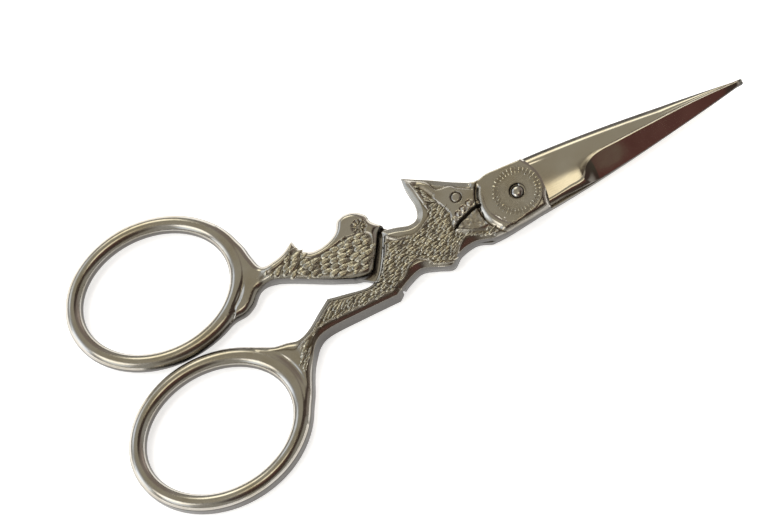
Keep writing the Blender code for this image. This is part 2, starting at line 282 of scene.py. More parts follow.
forgedFront = forgedPlate("nickelPlateFront")
forgedBack = forgedPlate("nickelPlateBack")
bladeFace = bladeSteel("polishedBlade")
bladeGround = groundSteel("groundBevel")
bladeSide = paintedShadeSide("paintedShadeSide")
screwMetal = screwSteel("turnedScrew")
print("finishes made")


def smoothPath(stretches, step=0.25):
    # closed outline; every stretch is one smooth curve and the joints between stretches stay sharp
    out = []
    for knots in stretches:
        pts = np.array(knots, float)
        run = np.vstack([pts[0] * 2 - pts[1], pts, pts[-1] * 2 - pts[-2]])
        for i in range(1, len(run) - 2):
            p0, p1, p2, p3 = run[i - 1:i + 3]
            parts = max(1, int(round(np.linalg.norm(p2 - p1) / step)))
            t = (np.arange(parts) / parts)[:, None]
            out.append((p1 * 2 + (p2 - p0) * t + (p0 * 2 - p1 * 5 + p2 * 4 - p3) * t ** 2
                        + (p1 * 3 - p0 - p2 * 3 + p3) * t ** 3) / 2)
    return np.vstack(out)


def openPath(knots, step=0.12):
    pts = smoothPath([knots], step)
    return np.vstack([pts, np.array(knots[-1], float)])


def distanceTo(pts, loops, closed=True):
    # shortest way from every point to the lines, worked out tile by tile
    starts, ends = [], []
    for loop in loops:
        starts.append(loop if closed else loop[:-1])
        ends.append(np.roll(loop, -1, axis=0) if closed else loop[1:])
    a, ab = np.vstack(starts), np.vstack(ends) - np.vstack(starts)
    size = (ab ** 2).sum(1) + 1e-12
    centre, reach = a + ab / 2, np.sqrt(size) / 2
    best = np.zeros(len(pts))
    tile = 1.5
    keys = np.floor(pts / tile).astype(int)
    order = np.lexsort((keys[:, 1], keys[:, 0]))
    cuts = np.flatnonzero(np.any(np.diff(keys[order], axis=0), axis=1)) + 1
    for group in np.split(order, cuts):
        middle = (keys[group[0]] + 0.5) * tile
        away = np.hypot(*(centre - middle).T)
        near = away - reach <= (away + reach).min() + tile * 1.5
        p = pts[group][:, None]
        t = np.clip(((p - a[near]) * ab[near]).sum(2) / size[near], 0, 1)
        best[group] = np.sqrt((((p - a[near]) - t[..., None] * ab[near]) ** 2).sum(2).min(1))
    return best


def inside(pts, loop):
    # crossings counted in bands of equal height
    hit = np.zeros(len(pts), bool)
    a, b = loop, np.roll(loop, -1, axis=0)
    low, high = np.minimum(a[:, 1], b[:, 1]), np.maximum(a[:, 1], b[:, 1])
    order = np.argsort(pts[:, 1])
    for group in np.array_split(order, max(1, len(pts) // 400)):
        y = pts[group, 1]
        near = (high >= y[0]) & (low <= y[-1])
        an, bn = a[near], b[near]
        spans = (an[:, 1] > y[:, None]) != (bn[:, 1] > y[:, None])
        rise = np.where(np.abs(bn[:, 1] - an[:, 1]) < 1e-12, 1e-12, bn[:, 1] - an[:, 1])
        cross = pts[group, 0][:, None] < (bn[:, 0] - an[:, 0]) * (y[:, None] - an[:, 1]) / rise + an[:, 0]
        hit[group] = ((spans & cross).sum(1) % 2).astype(bool)
    return hit


def signedInside(pts, loop):
    return np.where(inside(pts, loop), 1.0, -1.0) * distanceTo(pts, [loop])


def toLine(pts, path):
    return distanceTo(pts, [path], False)


def awayFrom(pts, spot):
    return np.hypot(pts[:, 0] - spot[0], pts[:, 1] - spot[1])


def ease(value, low, high):
    t = np.clip((value - low) / (high - low), 0, 1)
    return t * t * (3 - 2 * t)


def zone(pts, loop, low, high):
    # 0 outside the loop and 1 inside it, with a soft border
    return ease(signedInside(pts, loop), low, high)


def bell(value, width):
    return np.exp(-(value / width) ** 2)


def unevenness(pts, size, seed):
    return np.array([noise.noise(Vector((x / size, y / size, seed))) for x, y in pts])


forging = {
    "face": 2.0,             # height of the ornamented face over the middle plane
    "wall": 1.32,            # half height of the straight side wall
    "ledgeRise": 0.5,
    "lapGap": 0.05,
    "ringCentre": (-53.4, 11.55),
    "ringLong": 12.5,
    "ringShort": 10.05,
    "ringTurn": math.radians(-3),
    "ringWidth": 2.6,
    "ringHalfHeight": 1.45,
    "ringSwell": 0.55,
    "furDepth": 0.24,
    "webHeight": 1.26,
    "webBase": 0.12,
    "webEdge": 1.1,
    "hollowDepth": 0.24,
    "hollowWidth": 0.34,
    "hollows": {1: (-32, 9, 0.3), -1: (-14, 13, 0.8)},      # leaf-shaped hollow beside each ring: turn, reach, offset
    "ranks": (0.02, 0.05, 0.1, 0.17, 0.26, 0.36, 0.47, 0.59, 0.71, 0.83, 0.95, 1.07, 1.19, 1.31),
    "fill": 0.15,
}


def ringLoop(side, offset, count=300):
    t = np.arange(count) * math.tau / count
    x, y = forging["ringLong"] * np.cos(t), forging["ringShort"] * np.sin(t)
    nx, ny = np.cos(t) / forging["ringLong"], np.sin(t) / forging["ringShort"]
    size = np.hypot(nx, ny)
    swell = forging["ringSwell"] * np.maximum(0, np.cos(t + math.radians(18))) ** 4
    out = offset * forging["ringWidth"] / 2 + (swell if offset > 0 else 0)
    x, y = x + nx / size * out, y + ny / size * out
    c, s = math.cos(forging["ringTurn"]), math.sin(forging["ringTurn"])
    cx, cy = forging["ringCentre"]
    return np.stack([cx + x * c - y * s, side * (cy + x * s + y * c)], 1)


def joinRing(shank, ring):
    # outline of the shank joined with the outside of the ring: keep what lies outside the other
    shankKeep = ~inside(shank, ring)
    ringKeep = ~inside(ring, shank)
    start = int(np.argmax(ringKeep & ~np.roll(ringKeep, 1)))
    ring = np.roll(ring, -start, axis=0)
    ringKeep = np.roll(ringKeep, -start)
    start = int(np.argmax(shankKeep & ~np.roll(shankKeep, 1)))
    shank = np.roll(shank, -start, axis=0)
    shankKeep = np.roll(shankKeep, -start)
    a, b = shank[shankKeep], ring[ringKeep]
    if np.linalg.norm(a[-1] - b[0]) > np.linalg.norm(a[-1] - b[-1]):
        b = b[::-1]
    joined = np.vstack([a, b])
    # round the two corners where shank and ring meet
    for _ in range(6):
        near = np.minimum(np.linalg.norm(joined - a[-1], axis=1), np.linalg.norm(joined - a[0], axis=1)) < 0.9
        mean = (np.roll(joined, 1, axis=0) + np.roll(joined, -1, axis=0)) / 2
        joined = np.where(near[:, None], mean, joined)
    return joined


frontStretches = [
    [(2.6, 4.4), (-0.6, 4.62), (-2.9, 4.75), (-4.9, 4.5), (-7.4, 5.75), (-10.5, 7.75), (-14.2, 10.0)],
    [(-14.2, 10.0), (-14.35, 8.0), (-14.1, 5.3), (-14.6, 3.5), (-16.0, 3.0), (-18.1, 3.65), (-20.15, 4.1)],
    [(-20.15, 4.1), (-20.5, 2.9), (-22.15, -0.15), (-23.7, -2.1), (-25.4, -2.7), (-28.6, -2.1), (-31.3, -1.5)],
    [(-31.3, -1.5), (-33.3, -2.8), (-35.7, -4.45), (-37.6, -5.05), (-39.4, -4.4), (-41.4, -3.95), (-43.6, -2.85),
     (-46.2, -2.0)],
    [(-46.2, -2.0), (-45.3, -4.2), (-43.0, -6.2), (-41.5, -8.9), (-41.1, -12.0), (-42.0, -15.6)],
    [(-42.0, -15.6), (-40.6, -15.4), (-39.1, -13.2), (-38.0, -10.8), (-36.8, -8.5), (-35.2, -6.5), (-33.0, -5.7),
     (-28.0, -5.65), (-22.0, -5.75)],
    [(-22.0, -5.75), (-19.8, -4.6), (-17.5, -3.85), (-15.3, -4.55), (-13.1, -5.4), (-11.3, -4.25), (-8.7, -3.8),
     (-5.9, -4.65)],
    [(-5.9, -4.65), (-3.4, -4.7), (0.0, -4.5), (3.3, -4.1)],
    [(3.3, -4.1), (3.85, -1.4), (3.8, 1.4), (2.6, 4.4)],
]
# the raised figure on the front face; the ledge round it is what lies outside
figureStretches = [
    [(3.9, -3.3), (4.2, 0.0), (3.2, 4.0), (0.0, 4.25), (-3.0, 4.3), (-4.7, 4.0)],
    [(-4.7, 4.0), (-5.15, 3.2), (-7.5, 4.5), (-8.3, 5.25), (-9.0, 5.5), (-10.2, 5.7), (-10.7, 6.25), (-11.25, 7.55),
     (-12.5, 8.45), (-13.85, 9.35)],
    [(-13.85, 9.35), (-13.35, 7.5), (-13.1, 6.0), (-12.85, 4.5), (-12.7, 3.0), (-13.6, 2.2), (-15.1, 1.4),
     (-16.2, 1.15), (-17.3, 1.55), (-18.4, 1.8), (-19.9, 3.0)],
    [(-19.9, 3.0), (-20.55, 1.8), (-21.6, -0.2), (-23.2, -2.35), (-25.0, -3.2), (-28.6, -2.75), (-31.2, -2.25)],
    [(-31.2, -2.25), (-33.0, -3.45), (-35.3, -5.0), (-37.4, -5.75), (-38.6, -6.3), (-40.5, -5.4), (-44.0, -4.6)],
    [(-44.0, -4.6), (-42.6, -8.5), (-42.0, -13.0)],
    [(-42.0, -13.0), (-39.6, -12.6), (-38.3, -9.6), (-37.4, -8.1), (-36.3, -6.6), (-34.6, -5.2), (-32.3, -4.85),
     (-27.6, -5.0), (-22.4, -5.05)],
    [(-22.4, -5.05), (-20.0, -3.9), (-18.8, -3.0), (-17.4, -2.45), (-16.2, -3.0), (-15.0, -4.3), (-13.4, -5.0),
     (-12.1, -4.95), (-11.0, -3.6), (-9.6, -2.75), (-8.3, -2.95), (-6.6, -3.9), (-4.6, -4.2)],
    [(-4.6, -4.2), (-2.0, -4.05), (3.9, -3.3)],
]
backTopStretches = [
    [(-19.6, 4.75), (-20.85, 6.2), (-21.1, 7.4), (-22.4, 8.6), (-24.0, 8.95), (-25.2, 8.6)],
    [(-25.2, 8.6), (-26.3, 7.0), (-28.3, 6.1), (-30.4, 6.05), (-31.8, 7.1), (-32.4, 8.9)],
    [(-32.4, 8.9), (-34.4, 7.8), (-36.6, 7.35), (-38.0, 7.9), (-38.6, 9.7), (-39.1, 12.2), (-40.4, 15.0),
     (-41.9, 15.7)],
    [(-41.9, 15.7), (-41.1, 12.0), (-41.6, 8.8), (-43.4, 5.8), (-46.4, 3.3)],
    [(-46.4, 3.3), (-45.2, 2.3), (-43.0, 2.15), (-41.2, 2.95), (-39.5, 4.5), (-37.6, 4.9), (-35.2, 4.0),
     (-30.2, 1.2), (-26.6, -0.55)],
]
backGap = [(-26.6, -0.55), (-24.9, -1.0), (-23.6, -0.75), (-22.5, 0.75), (-21.1, 3.0), (-20.6, 4.0), (-19.6, 4.75)]
backLapStretches = [
    [(2.6, 4.1), (-0.6, 4.5), (-2.9, 4.65), (-4.9, 4.35), (-7.4, 5.3), (-11.0, 5.9), (-13.4, 4.6), (-15.9, 2.85),
     (-18.2, 3.6), (-19.6, 4.75)],
] + backTopStretches + [
    [(-26.6, -0.55), (-25.4, -0.95), (-24.4, -1.7)],
    [(-24.4, -1.7), (-22.7, -3.0), (-20.75, -5.06)],
    [(-20.75, -5.06), (-19.6, -4.46), (-17.5, -3.82), (-15.3, -4.52), (-13.1, -5.37), (-11.3, -4.22), (-8.7, -3.77),
     (-6.5, -4.6)],
    [(-6.5, -4.6), (-4.2, -4.6), (-1.0, -4.3), (3.1, -3.85)],
    [(3.1, -3.85), (3.8, -1.4), (3.7, 1.4), (2.6, 4.1)],
]


def bandPoints(path, offsets, closed):
    # extra points beside a line where the surface turns sharply
    if closed:
        ahead, behind = np.roll(path, -1, axis=0), np.roll(path, 1, axis=0)
    else:
        ahead, behind = np.vstack([path[1:], path[-1:]]), np.vstack([path[:1], path[:-1]])
    way = ahead - behind
    way /= np.linalg.norm(way, axis=1)[:, None] + 1e-9
    side = np.stack([-way[:, 1], way[:, 0]], 1)
    return np.vstack([path + side * o for o in offsets])


def circle(centre, radius, step=0.12):
    count = max(12, int(math.tau * radius / step))
    t = np.arange(count) * math.tau / count
    return np.stack([centre[0] + radius * np.cos(t), centre[1] + radius * np.sin(t)], 1)


def planMesh(loops, features, divider):
    # triangles that cover the plan shape, dense near its edges and beside every feature line
    outer = loops[0]
    spots = []
    for n, loop in enumerate(loops):
        turn = 1.0 if n == 0 else -1.0
        area = 0.5 * np.sum(loop[:, 0] * np.roll(loop[:, 1], -1) - np.roll(loop[:, 0], -1) * loop[:, 1])
        turn *= 1.0 if area > 0 else -1.0
        band = bandPoints(loop, [turn * r for r in forging["ranks"]], True)
        want = np.repeat(forging["ranks"], len(loop))
        spots.append(band[distanceTo(band, loops) > want - 0.012])
    low, high = np.array([-46.5, outer[:, 1].min()]), np.array([4.5, outer[:, 1].max()])
    cell = forging["fill"]
    xs = np.arange(low[0], high[0], cell)
    ys = np.arange(low[1], high[1], cell * 0.866)
    grid = np.array([(x + (j % 2) * cell / 2, y) for j, y in enumerate(ys) for x in xs])
    grid = grid[inside(grid, outer)]
    grid = grid[distanceTo(grid, loops) > forging["ranks"][-1] + cell * 0.6]
    clear = np.minimum.reduce([distanceTo(grid, [line], closed) for line, offsets, closed in features])
    grid = grid[clear > cell * 0.8]
    extra = np.vstack([bandPoints(*feature) for feature in features])
    extra = extra[inside(extra, outer)]
    extra = extra[distanceTo(extra, loops) > 0.02]
    free = np.vstack(spots + [extra, grid])
    free = free[toLine(free, divider) > 0.05]
    pts, edges = [], []
    for loop in loops:
        first = len(pts)
        pts.extend(map(tuple, loop))
        edges.extend((first + i, first + (i + 1) % len(loop)) for i in range(len(loop)))
    first = len(pts)
    pts.extend(map(tuple, divider))
    edges.extend((first + i, first + i + 1) for i in range(len(divider) - 1))
    pts.extend(map(tuple, free))
    made = geometry.delaunay_2d_cdt([Vector(p) for p in pts], edges, [], 0, 1e-4)
    spotsOut = np.array([tuple(v) for v in made[0]])
    tris = np.array(made[2])
    middle = spotsOut[tris].mean(1)
    keep = inside(middle, outer)
    for hole in loops[1:]:
        keep &= ~inside(middle, hole)
    return spotsOut, tris[keep]


def halfShell(name, loops, subLoop, side, topHeight, subHeight, features, divider, marks):
    # side +1: the whole outline is the front face; side -1: the whole outline is the back face
    pts, tris = planMesh(loops, features, divider)
    used = np.unique(tris)
    renumber = np.full(len(pts), -1)
    renumber[used] = np.arange(len(used))
    pts, tris = pts[used], renumber[tris]
    bigEdge = distanceTo(pts, loops)
    middle = pts[tris].mean(1)
    sub = inside(middle, subLoop)
    big = topHeight(pts, bigEdge) * side
    subEdge = distanceTo(pts, [subLoop] + loops[1:])
    small = -subHeight(pts, subEdge) * side
    lapZ = np.full(len(pts), forging["lapGap"] * side)
    n = len(pts)
    verts = np.vstack([np.column_stack([pts, big]), np.column_stack([pts, small]), np.column_stack([pts, lapZ])])
    faces = [tuple(t) for t in (tris if side > 0 else tris[:, ::-1])]
    lower = np.where(sub[:, None], tris + n, tris + 2 * n)
    faces += [tuple(t) for t in (lower[:, ::-1] if side > 0 else lower)]
    owner = {}
    for f, tri in enumerate(tris):
        for k in range(3):
            owner.setdefault((min(tri[k], tri[(k + 1) % 3]), max(tri[k], tri[(k + 1) % 3])), []).append(
                (f, tri[k], tri[(k + 1) % 3]))
    for users in owner.values():
        f, a, b = users[0]
        if len(users) == 1:
            shift = n if sub[f] else 2 * n
            faces.append((b, a, a + shift, b + shift) if side > 0 else (a, b, b + shift, a + shift))
        elif sub[users[0][0]] != sub[users[1][0]]:
            if not sub[f]:
                f, a, b = users[1]
            faces.append((b + 2 * n, a + 2 * n, a + n, b + n) if side > 0 else (a + 2 * n, b + 2 * n, b + n, a + n))
    seen = tris if side > 0 else tris[sub]
    face = np.column_stack([pts, big if side > 0 else small])
    return shellObject(name, verts, faces, marks(pts, bigEdge), marks(pts, subEdge)), (face, seen)


def shellObject(name, verts, faces, bigMarks, subMarks):
    mesh = bpy.data.meshes.new(name)
    world = verts * mm + np.array(pivot)
    mesh.from_pydata(world.tolist(), [], faces)
    plain = np.zeros(len(bigMarks[0]))
    for key, big, sub in (("cast", bigMarks[0], subMarks[0]), ("grimeAndShade", bigMarks[1], subMarks[1])):
        paint(mesh, key, np.concatenate([big, sub, plain]))
    bm = bmesh.new()
    bm.from_mesh(mesh)
    bmesh.ops.delete(bm, geom=[v for v in bm.verts if not v.link_faces], context='VERTS')
    bmesh.ops.remove_doubles(bm, verts=bm.verts, dist=2e-7)
    bmesh.ops.dissolve_degenerate(bm, edges=bm.edges, dist=1e-8)
    bm.to_mesh(mesh)
    bm.free()
    lean = np.array([p.normal.z for p in mesh.polygons])
    middle = np.array([(p.center - pivot)[:2] for p in mesh.polygons]) / mm
    onShank = 1.0 - (inside(middle, ringLoop(1, 1.1)) | inside(middle, ringLoop(-1, 1.1)))
    # painted shade: steep and upright faces are marked to be darkened; the flat tops and the flat undersides are not
    paint(mesh, "wall", ease(0.62 + 0.06 * onShank - lean, 0, 0.28) * ease(lean, -0.95, -0.75), 'FACE')
    mesh.shade_smooth()
    mesh.set_sharp_from_angle(angle=math.radians(48))
    print(name, len(mesh.polygons), "faces")
    return addObject(name, mesh)


headLook = {
    "collarRadius": 6.1,
    "collarDepth": 0.42,
    "collarWidth": 0.85,
    "eye": (-8.25, 3.35),
    "eyeRadius": 0.76,
    "eyeDepth": 0.17,
    "eyeBead": 0.06,
    "eyeRim": 0.05,
    "mouthSlot": [(-5.75, 0.75), (-6.9, 0.62), (-8.0, 0.25), (-9.3, -0.2), (-10.4, -0.85)],
    "slotDepth": 0.55,
    "wedgeDepth": 0.24,
    "jawRise": 0.14,
    "bumpRise": 0.12,
    "bumpGroove": 0.13,
    "earDepth": 0.2,
    "earFoldRise": 0.12,
    "jaw": [(-10.3, -0.9), (-9.2, -1.62), (-8.2, -2.2), (-7.1, -2.5), (-5.9, -2.6)],
    "lipBumps": [(-8.0, 1.2, 0.46), (-6.85, 1.55, 0.5), (-5.95, 1.3, 0.36), (-8.95, 0.85, 0.4), (-9.8, 0.2, 0.36)],
    "seatRadius": 1.17,
    "seatDepth": 0.5,
    "medalRadius": 3.75,
    "medalLines": [(1.65, 0.12), (2.45, 0.1)],              # radius, width
    "lipLines": [(4.72, 0.1), (4.38, 0.09)],
    "cornerAt": (2.7, -2.55),
    "cornerWay": (0.35, -0.94),
    "cornerFall": 0.23,
}
frontRing = ringLoop(-1, 1)
frontHole = ringLoop(-1, -1, 260)
frontOuter = joinRing(smoothPath(frontStretches), frontRing)
figure = smoothPath(figureStretches, 0.12)
mouthSlot = openPath(headLook["mouthSlot"])
jawLine = openPath(headLook["jaw"])
earHollow = openPath([(-12.6, 7.9), (-11.9, 6.6), (-11.3, 5.4)])
earFold = openPath([(-13.4, 8.6), (-13.0, 7.2), (-12.6, 5.6), (-12.3, 4.0)])
wedge = smoothPath([headLook["mouthSlot"] + headLook["jaw"][1:], [(-5.9, -2.6), (-5.75, 0.75)]], 0.12)
collar = openPath([(headLook["collarRadius"] * math.cos(a), headLook["collarRadius"] * math.sin(a))
                   for a in np.radians(np.arange(144, 236, 6))])
shoulder = np.array([(-24.6, -2.2), (-23.1, -3.35), (-21.2, -5.2), (-20.75, -5.75)])


def ringProfile(edge):
    r = forging["ringWidth"] / 2
    return forging["ringHalfHeight"] * np.sqrt(np.maximum(0, 1 - (1 - np.minimum(edge / r, 1)) ** 2))


def ledge(edge, width):
    # rounded arris over the straight wall, then the sloping ledge
    arris = -0.11 * (1 - np.clip(edge / 0.1, 0, 1)) ** 2
    return forging["wall"] + arris + forging["ledgeRise"] * np.clip(edge / width, 0, 1)


def frontHeight(pts, edge):
    x, y = pts[:, 0], pts[:, 1]
    radius = np.hypot(x, y)
    step = forging["face"] - forging["wall"] - forging["ledgeRise"]
    body = ledge(edge, 0.95) + step * zone(pts, figure, -0.1, 0.14)
    low = ease(-y, 1.0, 2.5)
    bossEdge = np.clip(edge / (0.42 + 0.38 * low), 0, 1)
    front = ease(x, 2.2, 3.2)                                # the boss falls only gently to the blade
    drop = (forging["face"] - forging["wall"]) * (1 - front * (1 - low)) + 0.12 * front
    boss = forging["face"] - drop * (1 - bossEdge) ** 2.0
    corner = (pts - headLook["cornerAt"]) @ np.array(headLook["cornerWay"])      # worn, beside the blade's edge
    boss = boss - headLook["cornerFall"] * np.clip(corner, 0, 1.4)
    body = body + (boss - body) * ease(x, -5.75, -5.45)
    # groove and lip between head and boss
    angle = np.degrees(np.arctan2(y, x)) % 360
    onCollar = ease(angle, 140, 148) * (1 - ease(angle, 218, 230))
    away = radius - headLook["collarRadius"]
    cove = ease(away, -headLook["collarWidth"], 0) * (1 - ease(away, 0.05, 0.24))
    body = body - headLook["collarDepth"] * cove * onCollar
    body = body + 0.05 * bell(radius - 5.1, 0.14) * ease(angle, 150, 165) * (1 - ease(angle, 232, 240))
    # two fine lines under the lip, then the medallion and the worn seat of the screw
    under = ease(angle, 192, 205) * (1 - ease(angle, 238, 246))
    for at, wide in headLook["lipLines"]:
        body = body - 0.09 * bell(radius - at, wide) * under
    body = body + 0.012 * ease(headLook["medalRadius"] - radius, -0.1, 0.1)
    for at, wide in headLook["medalLines"]:
        body = body - 0.02 * bell(radius - at, wide)
    body = body - headLook["seatDepth"] * ease(headLook["seatRadius"] - radius, -0.06, 0.06)
    # eye
    toEye = awayFrom(pts, headLook["eye"])
    toRim = toEye - headLook["eyeRadius"]
    body = body - headLook["eyeDepth"] * bell(toRim, 0.1) + headLook["eyeBead"] * bell(toEye, 0.5)
    body = body + headLook["eyeRim"] * bell(toRim - 0.2, 0.1)
    # mouth: smooth sunk wedge, the slot over it and the curled lip
    sunk = zone(pts, wedge, -0.05, 0.22)
    body = body - headLook["wedgeDepth"] * sunk * (1 - 0.5 * ease(x, -7.2, -5.9))
    body = body - headLook["slotDepth"] * bell(toLine(pts, mouthSlot), 0.17)
    body = body + headLook["jawRise"] * bell(toLine(pts, jawLine), 0.15)
    body = body + sunk * 0.16 * unevenness(pts, 0.5, 9.0)
    for bx, by, size in headLook["lipBumps"]:
        toBump = awayFrom(pts, (bx, by))
        body = body + headLook["bumpRise"] * bell(toBump, size * 0.8)
        body = body - headLook["bumpGroove"] * bell(toBump - size, 0.11)
    # hollow of the ear
    body = body - headLook["earDepth"] * bell(toLine(pts, earHollow), 0.42)
    body = body + headLook["earFoldRise"] * bell(toLine(pts, earFold), 0.2)
    return blendToRing(pts, edge, furBed(pts, body, furFront, ((0.55, 3.0, 0.05), (1.3, 7.0, 0.04))), -1)


def furBed(pts, body, loop, layers):
    # the face is sunk and uneven where the coat grows
    textured = zone(pts, loop, -0.1, 0.35)
    rough = sum(rise * unevenness(pts, size, seed) for size, seed, rise in layers)
    return body + textured * rough - forging["furDepth"] * textured


def blendToRing(pts, edge, body, side):
    # the shank thins into a web that runs level into the ring's crown, with a leaf-shaped hollow beside the ring
    loop = ringLoop(side, 1)
    toRing = distanceTo(pts, [loop, ringLoop(side, -1)])
    toLoop = distanceTo(pts, [loop])
    inRing = inside(pts, loop)
    depth = np.where(inRing, toLoop, -toLoop)
    ring = np.where(inRing, ringProfile(toRing), 0)
    turn = np.arctan2(side * pts[:, 1] - forging["ringCentre"][1], pts[:, 0] - forging["ringCentre"][0])
    nearShank = ease(np.cos(turn + math.radians(10)), 0.8, 0.92)
    rounded = np.sqrt(np.maximum(0, 1 - (1 - np.minimum(edge / forging["webEdge"], 1)) ** 2))
    web = forging["webHeight"] * rounded + forging["webBase"]
    web = web + (body - web) * (1 - ease(depth, -3.6, -1.2))
    web = web * (1 - ease(depth, 0.9 * nearShank, 0.7 + nearShank))
    where, reach, offset = forging["hollows"][side]
    leaf = bell(distanceTo(pts, [ringLoop(side, offset)]), forging["hollowWidth"])
    leaf = bell(np.degrees(turn) - where, reach) * leaf
    return np.maximum(ring, web) - forging["hollowDepth"] * leaf


furFront = smoothPath([[
    (-10.4, -0.9), (-10.1, 0.4), (-9.9, 1.8), (-10.4, 3.2), (-10.9, 4.3), (-11.3, 5.6), (-12.2, 7.2),
    (-13.1, 8.0), (-12.8, 6.2), (-12.6, 4.4), (-12.9, 3.0), (-13.6, 2.1),
    (-15.1, 1.25), (-16.2, 1.0), (-17.3, 1.4), (-18.5, 1.65), (-19.8, 2.6), (-20.5, 1.3), (-21.6, -0.45),
    (-23.2, -2.5), (-25.0, -3.3), (-28.6, -2.9), (-31.0, -2.45), (-33.0, -3.65), (-35.3, -5.2), (-37.2, -6.1),
    (-38.4, -7.4), (-38.9, -9.6), (-38.1, -9.4), (-37.0, -7.9), (-35.9, -6.3), (-34.4, -5.1), (-32.3, -4.8),
    (-27.6, -4.95), (-22.4, -4.98), (-20.0, -3.8), (-18.8, -2.9), (-17.4, -2.4), (-16.2, -2.95), (-15.0, -4.25),
    (-13.4, -4.9), (-12.2, -4.8), (-11.1, -3.55), (-9.6, -2.7), (-8.3, -2.9), (-6.6, -3.85), (-5.0, -4.1),
    (-5.3, -3.3), (-6.8, -2.8), (-8.6, -2.25), (-10.1, -1.5), (-10.4, -0.9)]], 0.3)
furBack = smoothPath([[
    (-22.9, 0.9), (-21.9, 2.6), (-21.5, 4.2), (-22.3, 5.0), (-23.9, 5.3), (-25.5, 5.5), (-27.0, 5.2), (-29.5, 5.0),
    (-31.2, 5.4), (-32.2, 7.0), (-32.6, 8.0), (-33.6, 7.1), (-35.5, 6.3), (-37.3, 6.2), (-38.9, 6.4), (-39.0, 5.5),
    (-37.6, 5.6), (-35.8, 4.9), (-33.6, 3.5), (-31.0, 2.1), (-28.4, 0.8), (-26.3, -0.1), (-24.6, -0.2),
    (-23.6, 0.1), (-22.9, 0.9)]], 0.3)


def frontMarks(pts, edge):
    # where the plate is left as cast, and where old grime and painted shade darken the recesses
    cast = zone(pts, furFront, -0.3, 0.3)
    radius = np.hypot(pts[:, 0], pts[:, 1])
    figureIn = signedInside(pts, figure)
    # old grime and painted shade: darker at the foot of the figure, in the mouth slot, the collar groove, round the
    # eye, at the edge of the screw's seat, in the ear hollow and under the coat between the tufts
    grimeAndShade = 0.75 * bell(figureIn + 0.12, 0.14) * ease(edge, 0.3, 0.6) * ~inside(pts, frontRing)
    grimeAndShade = grimeAndShade + 0.9 * bell(toLine(pts, mouthSlot), 0.2)
    grimeAndShade = grimeAndShade + 0.8 * bell(radius - headLook["collarRadius"] - 0.05, 0.12) * (pts[:, 0] < -2)
    sunk = zone(pts, wedge, -0.05, 0.25)
    medal = ease(headLook["medalRadius"] - radius, -0.1, 0.1)
    cast = np.maximum(cast, np.maximum(0.8 * sunk, 0.4 * medal))
    grimeAndShade = grimeAndShade + 0.68 * zone(pts, furFront, 0.0, 0.4) + 0.36 * bell(radius - 3.15, 0.45)
    toEye = awayFrom(pts, headLook["eye"])
    grimeAndShade = grimeAndShade + 0.7 * bell(toEye - headLook["eyeRadius"], 0.12) + 0.22 * sunk
    grimeAndShade = grimeAndShade + 0.9 * bell(radius - 1.15, 0.12)
    grimeAndShade = grimeAndShade + 0.4 * bell(toLine(pts, earHollow), 0.4)
    return cast, np.clip(grimeAndShade, 0, 1)


def plainBack(pts, edge):
    # back face of a half: the same ledge and face without the head
    body = ledge(edge, 0.8) + (forging["face"] - forging["wall"] - forging["ledgeRise"]) * ease(edge, 0.85, 1.05)
    side = -1 if pts[:, 1].mean() < 0 else 1
    return blendToRing(pts, edge, body, side)


frontFeatures = [
    (figure, (-0.16, -0.08, 0.0, 0.08, 0.16), True),
    (collar, (-0.28, -0.2, -0.12, -0.05, 0.0, 0.1, 0.22, 0.36, 0.5, 0.65, 0.8, 0.92, 1.05), False),
    (mouthSlot, (-0.3, -0.2, -0.1, 0.0, 0.1, 0.2, 0.3), False),
    (jawLine, (-0.12, 0.0, 0.12), False),
    (circle((0, 0), headLook["seatRadius"]), (-0.1, -0.05, 0.0, 0.05, 0.1), True),
    (circle((0, 0), headLook["medalRadius"]), (-0.08, 0.0, 0.08), True),
    (circle(headLook["eye"], headLook["eyeRadius"], 0.08), (-0.16, -0.08, 0.0, 0.08, 0.16, 0.26), True),
]


def junctionLine(side, loops):
    # the part of a ring's outline that lies inside the forging
    loop = ringLoop(side, 1)
    meets = (distanceTo(loop, loops) > 0.25) & inside(loop, loops[0])
    start = int(np.argmax(meets & ~np.roll(meets, 1)))
    return np.roll(loop, -start, axis=0)[np.roll(meets, -start)]


creaseRanks = (-0.7, -0.5, -0.36, -0.24, -0.14, -0.06, 0.0, 0.06, 0.14, 0.24, 0.36, 0.5, 0.7)
frontFeatures.append((junctionLine(-1, [frontOuter, frontHole]), creaseRanks, False))
frontSub = np.vstack([shoulder[::-1], np.array([(-30, 3), (-48, 3), (-70, -5), (-70, -26), (-40, -26), (-19, -8)])])
frontHalf, frontFace = halfShell("frontForging", [frontOuter, frontHole], frontSub, 1, frontHeight, plainBack,
                                 frontFeatures, shoulder, frontMarks)


backLap = joinRing(smoothPath(backLapStretches), ringLoop(1, 1))
backHole = ringLoop(1, -1, 260)
gapLine = openPath(backGap, 0.2)
backTop = joinRing(smoothPath(backTopStretches + [backGap]), ringLoop(1, 1))
rosette = {"centre": (-22.65, 6.0), "radius": 1.1, "petals": 9}


